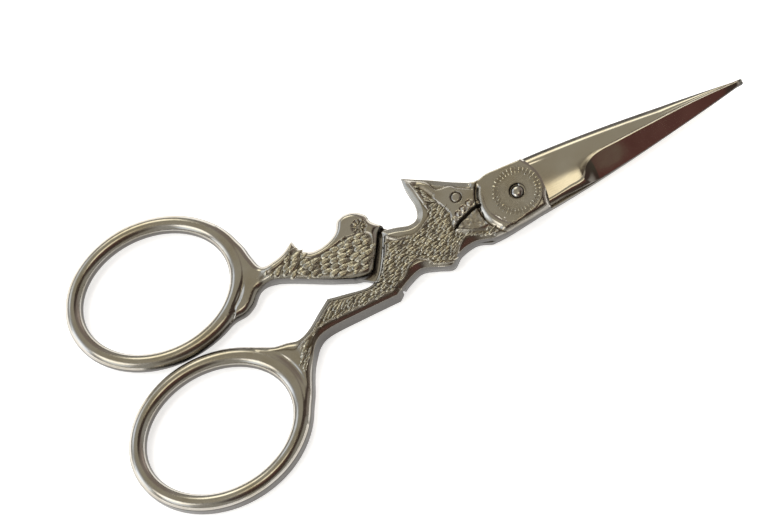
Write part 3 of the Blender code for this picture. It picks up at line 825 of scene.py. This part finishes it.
def backHeight(pts, edge):
    x, y = pts[:, 0], pts[:, 1]
    # soft rim on the rump side, a wider slope under the belly
    face = forging["face"] - (forging["face"] - forging["wall"]) * (1 - np.clip(edge / 0.95, 0, 1)) ** 2
    body = face - 0.1 * (1 - np.clip(edge / 0.08, 0, 1)) ** 2
    away = awayFrom(pts, rosette["centre"])
    turn = np.arctan2(y - rosette["centre"][1], x - rosette["centre"][0])
    petals = np.cos(turn * rosette["petals"]) * ease(away, 0.2, 0.5) * (1 - ease(away, 0.9, 1.2))
    body = body - 0.14 * (1 - ease(away, 0.95, 1.25)) + 0.12 * petals + 0.12 * bell(away, 0.3)
    return blendToRing(pts, edge, furBed(pts, body, furBack, ((0.7, 11.0, 0.05), (1.6, 5.0, 0.06))), 1)


def backMarks(pts, edge):
    cast = zone(pts, furBack, -0.3, 0.3)
    away = awayFrom(pts, rosette["centre"])
    disc = 1 - ease(away, 1.0, 1.3)
    # old grime and painted shade: the rosette disc and the ground under the coat are darker
    grimeAndShade = 0.35 * disc + 0.68 * zone(pts, furBack, 0.0, 0.4)
    return np.maximum(cast, disc), np.clip(grimeAndShade, 0, 1)


backFeatures = [
    (circle(rosette["centre"], rosette["radius"]), (-0.2, -0.1, 0.0, 0.1), True),
    (junctionLine(1, [backLap, backHole]), creaseRanks, False),
]
backHalf, backFace = halfShell("backForging", [backLap, backHole], backTop, -1, plainBack, backHeight, backFeatures,
                               gapLine, backMarks)


blade = {
    "root": 0.5,
    "tip": 36.0,
    "spine": (4.42, 0.42, 1.5),          # root, tip, taper
    "edge": [(0.5, -3.72), (3.0, -3.72), (6.0, -3.5), (9.4, -3.4)],
    "edgeTip": (0.08, 1.35),
    "shoulder": [(0.5, -2.85), (4.0, -2.8), (7.2, -2.45), (9.2, -2.2), (9.7, -1.75), (10.3, -1.2), (11.0, -0.65),
                 (11.9, -0.2), (13.2, 0.05), (16.0, 0.15), (20.0, 0.3), (28.0, 0.5), (36.0, 0.3)],
    "crest": [(0.5, 3.0), (4.8, 2.6), (7.7, 1.95), (10.5, 1.25), (13.3, 0.75), (16.0, 0.75), (26.0, 0.8),
              (36.0, 0.36)],
    "edgeBreak": 9.4,                    # from here on the edge runs straight to the tip
    "grindStart": 9.3,
    "grindEnd": 13.2,
    "nose": 0.5,
    "heightRoot": 1.74,
    "heightTip": 0.42,
    "crown": 0.12,                       # fall of the face towards the shoulder, as a share of its width
    "spineBand": 1.3,
    "backShift": 0.32,
    "backLean": 0.004,
}


def along(table, x):
    xs, ys = zip(*table)
    t = np.clip(x, xs[0], xs[-1])
    k = max(0, min(int(np.searchsorted(xs, t)) - 1, len(xs) - 2))
    run = np.diff(ys) / np.diff(xs)
    slope = np.concatenate([run[:1], (run[:-1] + run[1:]) / 2, run[-1:]])
    h = xs[k + 1] - xs[k]
    u = (t - xs[k]) / h
    return float((2 * u ** 3 - 3 * u ** 2 + 1) * ys[k] + (u ** 3 - 2 * u ** 2 + u) * h * slope[k]
                 + (3 * u ** 2 - 2 * u ** 3) * ys[k + 1] + (u ** 3 - u ** 2) * h * slope[k + 1])


def bladeProfile(x):
    b = blade
    run = (x - b["root"]) / (b["tip"] - b["root"])
    spine = b["spine"][0] + (b["spine"][1] - b["spine"][0]) * run ** b["spine"][2]
    edge = along(b["edge"], x)
    if x > b["edgeBreak"]:
        onEdge = (x - b["edgeBreak"]) / (b["tip"] - b["edgeBreak"])
        edge = edge + (b["edgeTip"][0] - edge) * onEdge ** b["edgeTip"][1]
    high = b["heightRoot"] + (b["heightTip"] - b["heightRoot"]) * run
    shoulderY = min(along(b["shoulder"], x), edge + (spine - edge) * 0.66)
    crest = max(min(along(b["crest"], x), spine - 0.25), shoulderY + 0.24)
    band = min(b["spineBand"], (spine - crest) * 0.85)
    cut = float(ease(np.array(x), b["grindStart"], b["grindStart"] + 2.4))
    edgeZ = 0.05 + 0.5 * (1 - cut)
    shoulderZ = high - b["crown"] * (crest - shoulderY)
    points = [(edge, 0.0), (edge, edgeZ)]
    for k in range(1, 6):                               # lower chamfer, then the ground bevel
        t = k / 6
        bulge = 0.16 * (1 - cut) * 4 * t * (1 - t)
        points.append((edge + (shoulderY - edge) * t, edgeZ + (shoulderZ - edgeZ) * t + bulge))
    points.append((shoulderY, shoulderZ))
    points.append((shoulderY + 0.2, shoulderZ + 0.046))
    for k in range(1, 9):                               # crowned face up to the crease
        t = 0.1 + 0.9 * k / 9
        points.append((shoulderY + (crest - shoulderY) * t, high - (high - shoulderZ) * (1 - t) ** 2.2))
    points.append((crest, high))
    upper = spine - band
    for k in range(1, 4):
        t = k / 3
        points.append((crest + (upper - crest) * t, high * (1 - 0.045 * t)))
    top = high * 0.955
    drop = band * 0.38
    for k in range(1, 9):                               # rounded slope along the spine
        t = k / 8
        points.append((upper + (band - 0.04) * t, top - drop * t ** 2))
    points.append((spine, top - drop - 0.12))
    points.append((spine, (top - drop - 0.12) * 0.5))
    points.append((spine, 0.0))
    points.append(((spine + edge) / 2, 0.0))
    return points


def bladeShell(name, turned):
    stations = list(np.arange(blade["root"], blade["grindStart"], 0.4))
    stations += list(np.arange(blade["grindStart"], blade["grindEnd"], 0.12))
    stations += list(np.linspace(blade["grindEnd"], blade["tip"] - blade["nose"], 60))
    stations += [blade["tip"] - 0.22, blade["tip"] - 0.06, blade["tip"]]
    rows = []
    for x in stations:
        row = bladeProfile(min(x, blade["tip"] - 0.01))
        nose = max(0.0, (x - (blade["tip"] - blade["nose"])) / blade["nose"])
        middle = sum(y for y, z in row) / len(row)
        squeeze = math.sqrt(max(0.0, 1 - nose ** 2)) * 0.85 + 0.15
        rows.append([(x, middle + (y - middle) * squeeze, forging["lapGap"] + z * (0.5 + 0.5 * squeeze))
                     for y, z in row])
    verts, faces = [], []
    for row in rows:
        for x, y, z in row:
            if turned:
                y, z = -y + blade["backShift"] + blade["backLean"] * x, -z
            verts.append((x, y, z))
    size = len(rows[0])
    for r in range(len(rows) - 1):
        for k in range(size):
            a, b = r * size + k, r * size + (k + 1) % size
            faces.append((a, b, b + size, a + size))
    faces.append(tuple(range(size)))
    faces.append(tuple(range(len(verts) - size, len(verts))))
    mesh = bpy.data.meshes.new(name)
    mesh.from_pydata([tuple(Vector(v) * mm + pivot) for v in verts], [], faces)
    for metal in (bladeFace, bladeGround, bladeSide):
        mesh.materials.append(metal)
    for r in range(len(rows) - 1):
        for k in range(size):
            if 1 <= k <= 6 and blade["grindStart"] - 0.01 <= stations[r] < blade["tip"] - 0.6:
                mesh.polygons[r * size + k].material_index = 1
            # painted shade: the edge wall, the last segments of the spine's slope, the tip and the end caps take the
            # dark side finish
            elif k == 0 or size - 8 <= k < size - 2 or stations[r] > blade["tip"] - 0.6:
                mesh.polygons[r * size + k].material_index = 2
    for cap in mesh.polygons[-2:]:
        cap.material_index = 2
    bm = bmesh.new()
    bm.from_mesh(mesh)
    bmesh.ops.recalc_face_normals(bm, faces=bm.faces)
    bm.to_mesh(mesh)
    bm.free()
    mesh.shade_smooth()
    crisp = (1, 7, 8, size - 5, size - 4, size - 2, 0)
    sharp = mesh.attributes.new("sharp_edge", 'BOOLEAN', 'EDGE')
    sharp.data.foreach_set("value", [e.vertices[0] % size in crisp and e.vertices[0] % size == e.vertices[1] % size
                                     for e in mesh.edges])
    return addObject(name, mesh)


frontBlade = bladeShell("frontBlade", False)
backBlade = bladeShell("backBlade", True)
print("blades made")


screw = {
    "shank": 1.0,
    "tipRise": 0.62,
    "head": 2.1,
    "headSink": 0.12,
    "headDepth": 1.0,
    "slotWidth": 0.5,
    "slotDepth": 0.45,
    "steps": 64,
}


def turnedScrew(name):
    top = forging["face"] - headLook["seatDepth"] - 0.05
    base = -forging["face"] + screw["headSink"]
    profile = [(0.0, base), (screw["head"] - 0.12, base), (screw["head"], base + 0.08),
               (screw["shank"], base + screw["headDepth"]), (screw["shank"], top)]
    for k in range(1, 12):
        a = math.radians(90) * k / 12
        profile.append((screw["shank"] * math.cos(a) ** 0.8, top + screw["tipRise"] * math.sin(a)))
    profile.append((0.0, top + screw["tipRise"]))
    bm = bmesh.new()
    rows = []
    for radius, z in profile:
        if radius == 0:
            rows.append([bm.verts.new(Vector((0, 0, z)) * mm + pivot)])
            continue
        rows.append([bm.verts.new(Vector((radius * math.cos(math.tau * i / screw["steps"]),
                                          radius * math.sin(math.tau * i / screw["steps"]), z)) * mm + pivot)
                     for i in range(screw["steps"])])
    for low, high in zip(rows, rows[1:]):
        for i in range(screw["steps"]):
            j = (i + 1) % screw["steps"]
            ring = [low[i % len(low)], low[j % len(low)], high[j % len(high)], high[i % len(high)]]
            unique = list(dict.fromkeys(ring))
            bm.faces.new(unique)
    bmesh.ops.recalc_face_normals(bm, faces=bm.faces)
    item = addObject(name, meshFromBuild(name, bm))
    # driver slot across the head
    bar = bmesh.new()
    middle = pivot + Vector((0, 0, base - 1 + screw["slotDepth"])) * mm
    bmesh.ops.create_cube(bar, size=1.0, matrix=Matrix.Translation(middle)
                          @ Matrix.Diagonal((8 * mm, screw["slotWidth"] * mm, 2 * mm, 1)))
    cutter = addObject("slotCutter", meshFromBuild("slotCutter", bar))
    cut = item.modifiers.new("Slot", 'BOOLEAN')
    cut.operation = 'DIFFERENCE'
    cut.solver = 'EXACT'
    cut.object = cutter
    bpy.context.view_layer.update()
    shaped = bpy.data.meshes.new_from_object(item.evaluated_get(bpy.context.evaluated_depsgraph_get()))
    item.modifiers.clear()
    item.data = shaped
    bpy.data.objects.remove(cutter)
    shaped.shade_smooth()
    shaped.set_sharp_from_angle(angle=math.radians(35))
    shaped.materials.clear()
    shaped.materials.append(screwMetal)
    return item


pivotScrew = turnedScrew("turnedPivotScrew")
for half, finishMat in ((frontHalf, forgedFront), (backHalf, forgedBack)):
    half.data.materials.append(finishMat)
print("screw made")


class GeoTree:
    # node group for a modifier, built step by step
    def __init__(self, name):
        self.group = bpy.data.node_groups.new(name, 'GeometryNodeTree')
        self.group.interface.new_socket("Geometry", in_out='INPUT', socket_type='NodeSocketGeometry')
        self.group.interface.new_socket("Geometry", in_out='OUTPUT', socket_type='NodeSocketGeometry')
        self.ids = {}

    def size(self, name, kind, value):
        socket = self.group.interface.new_socket(name, in_out='INPUT', socket_type='NodeSocket' + kind)
        if value is not None:
            socket.default_value = value
        self.ids[name] = socket.identifier

    def start(self):
        self.given = self.group.nodes.new("NodeGroupInput")

    def step(self, kind, settings=None, inputs=None):
        made = self.group.nodes.new(kind)
        for key, value in (settings or {}).items():
            setattr(made, key, value)
        for key, value in (inputs or {}).items():
            if isinstance(value, bpy.types.NodeSocket):
                self.group.links.new(value, made.inputs[key])
            else:
                made.inputs[key].default_value = value
        return made

    def maths(self, operation, a, b=0.0):
        return self.step("ShaderNodeMath", {"operation": operation}, {0: a, 1: b}).outputs[0]

    def times(self, a, b):
        return self.maths('MULTIPLY', a, b)

    def chance(self, low, high, seed):
        return self.step("FunctionNodeRandomValue", {"data_type": 'FLOAT'}, {2: low, 3: high, "Seed": seed}).outputs[1]

    def finish(self, geometry, material):
        real = self.step("GeometryNodeRealizeInstances", None, {0: geometry})
        smooth = self.step("GeometryNodeSetShadeSmooth", None, {0: real.outputs[0]})
        painted = self.step("GeometryNodeSetMaterial", None, {0: smooth.outputs[0], "Material": material})
        out = self.group.nodes.new("NodeGroupOutput")
        self.group.links.new(painted.outputs[0], out.inputs[0])

    def grow(self, guide, name, values):
        # run the tree on the guide and keep the result as a plain mesh
        mod = guide.modifiers.new(name, 'NODES')
        mod.node_group = self.group
        for key, value in values.items():
            mod[self.ids[key]] = value
        bpy.context.view_layer.update()
        mesh = bpy.data.meshes.new_from_object(guide.evaluated_get(bpy.context.evaluated_depsgraph_get()))
        mesh.name = name
        bpy.data.objects.remove(guide)
        print(name, len(mesh.polygons), "faces")
        return addObject(name, mesh)


def tuftTree():
    # staggered rows of pointed tufts dropped onto the guide surface
    tree = GeoTree("carvedCoat")
    for name, kind, value in (("Length", 'Float', 0.001), ("Width", 'Float', 0.0005),
                              ("Height", 'Float', 0.0002), ("Row Turn", 'Float', 0.0),
                              ("Reach", 'Float', 0.03), ("Centre", 'Vector', None),
                              ("Overlap", 'Float', 1.3), ("Spread", 'Float', 1.2),
                              ("Seed", 'Int', 3), ("Finish", 'Material', None)):
        tree.size(name, kind, value)
    tree.start()
    given = tree.given.outputs
    long, wide = given["Length"], given["Width"]
    across = tree.maths('ROUND', tree.maths('DIVIDE', given["Reach"], long))
    down = tree.maths('ROUND', tree.maths('DIVIDE', given["Reach"], wide))
    grid = tree.step("GeometryNodeMeshGrid", None, {"Size X": tree.times(across, long),
                                                    "Size Y": tree.times(down, wide),
                                                    "Vertices X": tree.maths('ADD', across, 1.0),
                                                    "Vertices Y": tree.maths('ADD', down, 1.0)})
    spot = tree.step("ShaderNodeSeparateXYZ", None, {0: tree.step("GeometryNodeInputPosition").outputs[0]})
    row = tree.maths('ROUND', tree.maths('DIVIDE', spot.outputs[1], wide))
    odd = tree.times(tree.maths('FRACT', tree.times(tree.maths('ADD', row, 1000.0), 0.5)), long)
    stray = tree.step("FunctionNodeRandomValue", {"data_type": 'FLOAT_VECTOR'},
                      {"Min": (-0.2, -0.08, 0), "Max": (0.2, 0.08, 0), "Seed": given["Seed"]})
    strayed = tree.step("ShaderNodeVectorMath", {"operation": 'SCALE'}, {0: stray.outputs[0], "Scale": long})
    shift = tree.step("ShaderNodeCombineXYZ", None, {0: odd})
    moved = tree.step("ShaderNodeVectorMath", {"operation": 'ADD'}, {0: shift.outputs[0], 1: strayed.outputs[0]})
    rows = tree.step("GeometryNodeSetPosition", None, {0: grid.outputs[0], "Offset": moved.outputs[0]})
    turn = tree.step("ShaderNodeCombineXYZ", None, {2: given["Row Turn"]})
    laid = tree.step("GeometryNodeTransform", None, {0: rows.outputs[0], "Translation": given["Centre"],
                                                     "Rotation": turn.outputs[0]})
    flow = tree.step("GeometryNodeInputNamedAttribute", {"data_type": 'FLOAT'}, {"Name": "flow"})
    grow = tree.step("GeometryNodeInputNamedAttribute", {"data_type": 'FLOAT'}, {"Name": "grow"})
    hits = []
    for field in (flow, grow):
        hits.append(tree.step("GeometryNodeRaycast", {"data_type": 'FLOAT'},
                              {"Target Geometry": given["Geometry"], "Attribute": field.outputs[0],
                               "Ray Direction": (0, 0, -1), "Ray Length": 0.1}))
    hit, hitGrow = hits
    missed = tree.step("FunctionNodeBooleanMath", {"operation": 'NOT'}, {0: hit.outputs["Is Hit"]})
    tilts = [tree.chance(-0.13, 0.13, tree.maths('ADD', given["Seed"], k)) for k in (11.0, 23.0)]
    swing = tree.maths('ADD', hit.outputs["Attribute"], tree.chance(-0.22, 0.22, given["Seed"]))
    heading = tree.step("ShaderNodeCombineXYZ", None, {0: tilts[0], 1: tilts[1], 2: swing})
    upright = tree.step("FunctionNodeAlignRotationToVector", {"axis": 'Z'}, {"Vector": hit.outputs["Hit Normal"]})
    aimed = tree.step("FunctionNodeRotateRotation", {"rotation_space": 'LOCAL'},
                      {0: upright.outputs[0], 1: heading.outputs[0]})
    kept = {}
    for key, kind, value in (("place", 'FLOAT_VECTOR', hit.outputs["Hit Position"]),
                             ("heading", 'QUATERNION', aimed.outputs[0]),
                             ("grow", 'FLOAT', hitGrow.outputs["Attribute"])):
        laid = tree.step("GeometryNodeStoreNamedAttribute", {"data_type": kind, "domain": 'POINT'},
                         {0: laid.outputs[0], "Name": key, "Value": value})
        kept[key] = tree.step("GeometryNodeInputNamedAttribute", {"data_type": kind}, {"Name": key}).outputs[0]
    landed = tree.step("GeometryNodeDeleteGeometry", {"domain": 'POINT'}, {0: laid.outputs[0], 1: missed.outputs[0]})
    settled = tree.step("GeometryNodeSetPosition", None, {0: landed.outputs[0], "Position": kept["place"]})
    tuft = tree.step("GeometryNodeMeshUVSphere", None, {"Segments": 8, "Rings": 6, "Radius": 0.5})
    part = tree.step("ShaderNodeSeparateXYZ", None, {0: tree.step("GeometryNodeInputPosition").outputs[0]})
    narrow = tree.maths('SUBTRACT', 0.85, tree.times(part.outputs[0], 0.75))
    rise = tree.maths('ADD', 0.9, tree.times(part.outputs[0], -0.5))
    shape = tree.step("ShaderNodeCombineXYZ", None, {
        0: tree.times(tree.times(part.outputs[0], long), given["Overlap"]),
        1: tree.times(tree.times(part.outputs[1], tree.times(wide, given["Spread"])), narrow),
        2: tree.times(tree.times(part.outputs[2], given["Height"]), rise)})
    shaped = tree.step("GeometryNodeSetPosition", None, {0: tuft.outputs[0], "Position": shape.outputs[0]})
    vary = tree.chance(0.84, 1.14, given["Seed"])
    many = tree.step("GeometryNodeInstanceOnPoints", None,
                     {0: settled.outputs[0], "Instance": shaped.outputs[0], "Rotation": kept["heading"],
                      "Scale": tree.times(vary, kept["grow"])})
    tree.finish(many.outputs[0], given["Finish"])
    return tree


def coatGuide(name, face, loop, flow):
    # the part of a face that carries the coat, with the way the coat lies
    pts, tris = face
    keep = tris[inside(pts[:, :2][tris].mean(1), loop)]
    used, packed = np.unique(keep, return_inverse=True)
    mesh = bpy.data.meshes.new(name)
    mesh.from_pydata((pts[used] * mm + np.array(pivot)).tolist(), [], packed.reshape(-1, 3).tolist())
    depth = zone(pts[used][:, :2], loop, 0.0, 0.5)
    for key, values in (("flow", flow(pts[used])), ("grow", 0.55 + 0.45 * depth)):
        paint(mesh, key, values)
    return addObject(name, mesh)


frontCoat = {"Length": 1.1 * mm, "Width": 0.45 * mm, "Height": 0.46 * mm, "Row Turn": math.radians(11),
             "Reach": 42 * mm, "Overlap": 1.55, "Spread": 1.5, "Seed": 5}
backCoat = {"Length": 1.4 * mm, "Width": 0.78 * mm, "Height": 0.5 * mm, "Row Turn": math.radians(4),
            "Reach": 32 * mm, "Overlap": 1.6, "Spread": 1.6, "Seed": 9}
coatTop = 2.13           # height over the middle plane


def frontFlow(pts):
    body = 12 + 12 * ease(pts[:, 0], -14.0, -9.0) + 22 * (1 - ease(pts[:, 0], -32.0, -24.0))
    return np.radians(body + (-57 - body) * ease(pts[:, 1], 3.6, 5.0))      # the ear is combed towards its tip


def backFlow(pts):
    return np.radians(2 + 26 * (1 - ease(pts[:, 0], -34.5, -30.5)))


coat = tuftTree()
wornCoat = coatPlate("wornCoat", coatLook["gold"])
# the raised marks get the near-white colour as a painted highlight
highlightMarkFinish = coatPlate("paintedHighlightMarks", coatLook["mark"])
frontCoat["Centre"] = pivot + Vector((-20, -1, 5)) * mm
backCoat["Centre"] = pivot + Vector((-30, 4, 5)) * mm
frontCoat["Finish"] = wornCoat
backCoat["Finish"] = wornCoat
frontFur = coat.grow(coatGuide("frontGuide", frontFace, furFront, frontFlow), "frontCoat", frontCoat)
backFur = coat.grow(coatGuide("backGuide", backFace, furBack, backFlow), "backCoat", backCoat)
wornLevel = pivot.z + coatTop * mm
for fur in (frontFur, backFur):                 # the highest strokes are rubbed level
    for v in fur.data.vertices:
        v.co.z = min(v.co.z, wornLevel)


def tickTree():
    # worn radial marks on two circles round the screw
    tree = GeoTree("bossMarks")
    for name, kind, value in (("Radius", 'Float', 0.003), ("Count", 'Int', 40),
                              ("Tick Length", 'Float', 0.0006), ("Tick Width", 'Float', 0.0002),
                              ("Tick Height", 'Float', 0.0001), ("Centre", 'Vector', None),
                              ("Seed", 'Int', 2), ("Finish", 'Material', None)):
        tree.size(name, kind, value)
    tree.start()
    given = tree.given.outputs
    joined = tree.step("GeometryNodeJoinGeometry")
    tick = tree.step("GeometryNodeMeshUVSphere", None, {"Segments": 8, "Rings": 5, "Radius": 0.5})
    size = tree.step("ShaderNodeCombineXYZ", None, {0: given["Tick Length"], 1: given["Tick Width"],
                                                    2: given["Tick Height"]})
    cut = tree.step("GeometryNodeTransform", None, {0: tick.outputs[0], "Scale": size.outputs[0]})
    for share, seed in ((1.0, 0.0), (1.19, 7.0)):
        ring = tree.step("GeometryNodeMeshCircle", None, {
            "Vertices": given["Count"], "Radius": tree.times(given["Radius"], share)})
        spot = tree.step("GeometryNodeInputPosition")
        faced = tree.step("FunctionNodeAlignRotationToVector", {"axis": 'X', "pivot_axis": 'Z'},
                          {"Vector": spot.outputs[0]})
        odds = tree.chance(0.55, 1.2, tree.maths('ADD', given["Seed"], seed))
        many = tree.step("GeometryNodeInstanceOnPoints", None,
                         {0: ring.outputs[0], "Instance": cut.outputs[0], "Rotation": faced.outputs[0],
                          "Scale": odds})
        tree.group.links.new(many.outputs[0], joined.inputs[0])
    placed = tree.step("GeometryNodeTransform", None, {0: joined.outputs[0], "Translation": given["Centre"]})
    tree.finish(placed.outputs[0], given["Finish"])
    return tree


marks = {"Radius": 2.86 * mm, "Count": 36, "Tick Length": 0.72 * mm, "Tick Width": 0.32 * mm,
         "Tick Height": 0.38 * mm, "Seed": 4, "Finish": highlightMarkFinish, "Centre": pivot + Vector((0, 0, 1.91)) * mm}
ticks = tickTree()
petals = {"Radius": 0.58 * mm, "Count": 9, "Tick Length": 0.62 * mm, "Tick Width": 0.34 * mm, "Tick Height": 0.3 * mm,
          "Seed": 6, "Finish": highlightMarkFinish, "Centre": pivot + Vector((*rosette["centre"], 1.9)) * mm}
bossMarks, rosettePetals = (ticks.grow(addObject("guide", bpy.data.meshes.new("guide")), name, values)
                            for name, values in (("bossMarks", marks), ("rosettePetals", petals)))


for piece, body, node, slot in (
    (frontHalf, frontBody, "front_half", "plated_steel_front"),
    (frontBlade, frontBody, "front_half", "plated_steel_front"),
    (backHalf, backBody, "back_half", "plated_steel_back"),
    (backBlade, backBody, "back_half", "plated_steel_back"),
    (frontFur, frontBody, "front_half", "plated_steel_front"),
    (bossMarks, frontBody, "front_half", "plated_steel_front"),
    (backFur, backBody, "back_half", "plated_steel_back"),
    (rosettePetals, backBody, "back_half", "plated_steel_back"),
    (pivotScrew, frontBody, "pivot_screw", "screw_steel"),
):
    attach(piece, body)
    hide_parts(node)


floorLook = {"half": 3.0, "colour": (0.9, 0.9, 0.9, 1), "glow": 0.62}
windowLamp = {"power": 9.0, "size": 0.9, "place": (-0.25, 0.35, 0.9)}


def paleFloor():
    bm = bmesh.new()
    bmesh.ops.create_grid(bm, x_segments=1, y_segments=1, size=floorLook["half"])
    item = addObject("floor", meshFromBuild("floor", bm))
    mat = Finish("paleFloor")
    mat.finish(floorLook["colour"], 0.95, None, 0.0)
    mat.shader.inputs["Emission Color"].default_value = (1, 1, 1, 1)
    mat.shader.inputs["Emission Strength"].default_value = floorLook["glow"]
    item.data.materials.append(mat.material)


room = {
    "base": (0.36, 0.35, 0.32),
    "lobes": [                       # direction, cosine where it starts and where it is full, colour
        ((0.0, 0.15, 1.0), 0.80, 0.93, (0.38, 0.35, 0.28)),
        ((0.80, 0.35, 0.50), 0.70, 0.90, (0.27, 0.23, 0.205)),
        ((0.40, -0.15, 0.90), 0.90, 0.965, (0.06, 0.042, 0.034)),
        ((0.12, -0.68, 0.72), 0.86, 0.94, (0.065, 0.047, 0.038)),
        ((0.10, -0.44, 0.89), 0.955, 0.99, (0.125, 0.056, 0.047)),
        ((-0.68, -0.25, 0.69), 0.955, 0.985, (2.2, 2.15, 2.0)),
        ((-0.50, 0.70, 0.52), 0.955, 0.985, (0.95, 1.02, 1.12)),
        ((-0.88, 0.25, 0.40), 0.93, 0.985, (0.85, 0.93, 1.05)),
        ((-0.95, 0.15, 0.20), 0.95, 0.985, (1.6, 1.7, 1.85)),
        ((-0.80, -0.46, 0.38), 0.965, 0.99, (1.1, 1.18, 1.28)),
        ((0.93, 0.22, 0.28), 0.95, 0.985, (0.46, 0.39, 0.36)),
        ((0.04, -0.10, 0.99), 0.985, 0.996, (1.7, 1.55, 1.15)),
        ((0.0, 0.80, 0.60), 0.968, 0.988, (2.1, 2.0, 1.6)),
    ],
}


def studioWorld():
    # a grey room: windows to the left, a warm lamp to the right, the dark onlooker above
    world = bpy.data.worlds.new("studio")
    bpy.context.scene.world = world
    world.use_nodes = True
    tree = world.node_tree
    tree.nodes.clear()
    out = tree.nodes.new("ShaderNodeOutputWorld")
    back = tree.nodes.new("ShaderNodeBackground")
    tree.links.new(back.outputs[0], out.inputs[0])
    way = tree.nodes.new("ShaderNodeTexCoord").outputs["Generated"]
    colour = (*room["base"], 1)
    for direction, low, high, tone in room["lobes"]:
        dot = tree.nodes.new("ShaderNodeVectorMath")
        dot.operation = 'DOT_PRODUCT'
        tree.links.new(way, dot.inputs[0])
        dot.inputs[1].default_value = Vector(direction).normalized()
        ramp = tree.nodes.new("ShaderNodeMapRange")
        ramp.interpolation_type = 'SMOOTHSTEP'
        tree.links.new(dot.outputs["Value"], ramp.inputs[0])
        ramp.inputs[1].default_value = low
        ramp.inputs[2].default_value = high
        mix = tree.nodes.new("ShaderNodeMix")
        mix.data_type = 'RGBA'
        tree.links.new(ramp.outputs[0], mix.inputs[0])
        if isinstance(colour, tuple):
            mix.inputs[6].default_value = colour
        else:
            tree.links.new(colour, mix.inputs[6])
        mix.inputs[7].default_value = (*tone, 1)
        colour = mix.outputs[2]
    tree.links.new(colour, back.inputs[0])


viewpoint = {"aim": (-22.0042, 0.4714), "roll": -24.9085, "tilt": 20.0, "azimuth": -86.0, "distance": 550.0,
             "focal": 180.4}


def placeCamera():
    v = viewpoint
    tilt, azimuth, roll = (math.radians(v[k]) for k in ("tilt", "azimuth", "roll"))
    back = Vector((math.sin(tilt) * math.cos(azimuth), math.sin(tilt) * math.sin(azimuth), math.cos(tilt)))
    upHint = Vector((-math.sin(roll), math.cos(roll), 0))
    right = upHint.cross(back).normalized()
    up = back.cross(right)
    aim = pivot + Vector((*v["aim"], 0)) * mm
    data = bpy.data.cameras.new("camera")
    data.lens = v["focal"]
    data.sensor_width = 36
    data.clip_start = 0.01
    camera = bpy.data.objects.new("camera", data)
    camera.matrix_world = Matrix.Translation(aim + back * v["distance"] * mm) @ Matrix(
        (right, up, back)).transposed().to_4x4()
    bpy.context.scene.collection.objects.link(camera)
    bpy.context.scene.camera = camera


def softLight(name, power, size, place):
    data = bpy.data.lights.new(name, 'AREA')
    data.energy = power
    data.size = size
    lamp = bpy.data.objects.new(name, data)
    lamp.location = place
    lamp.rotation_euler = (-Vector(place)).to_track_quat('-Z', 'Y').to_euler()
    lamp.visible_glossy = False      # it lights the floor; the room does the reflections
    bpy.context.scene.collection.objects.link(lamp)


paleFloor()
studioWorld()
placeCamera()
softLight("windowLight", **windowLamp)
bpy.context.scene.view_settings.view_transform = 'Standard'
print("stage set")
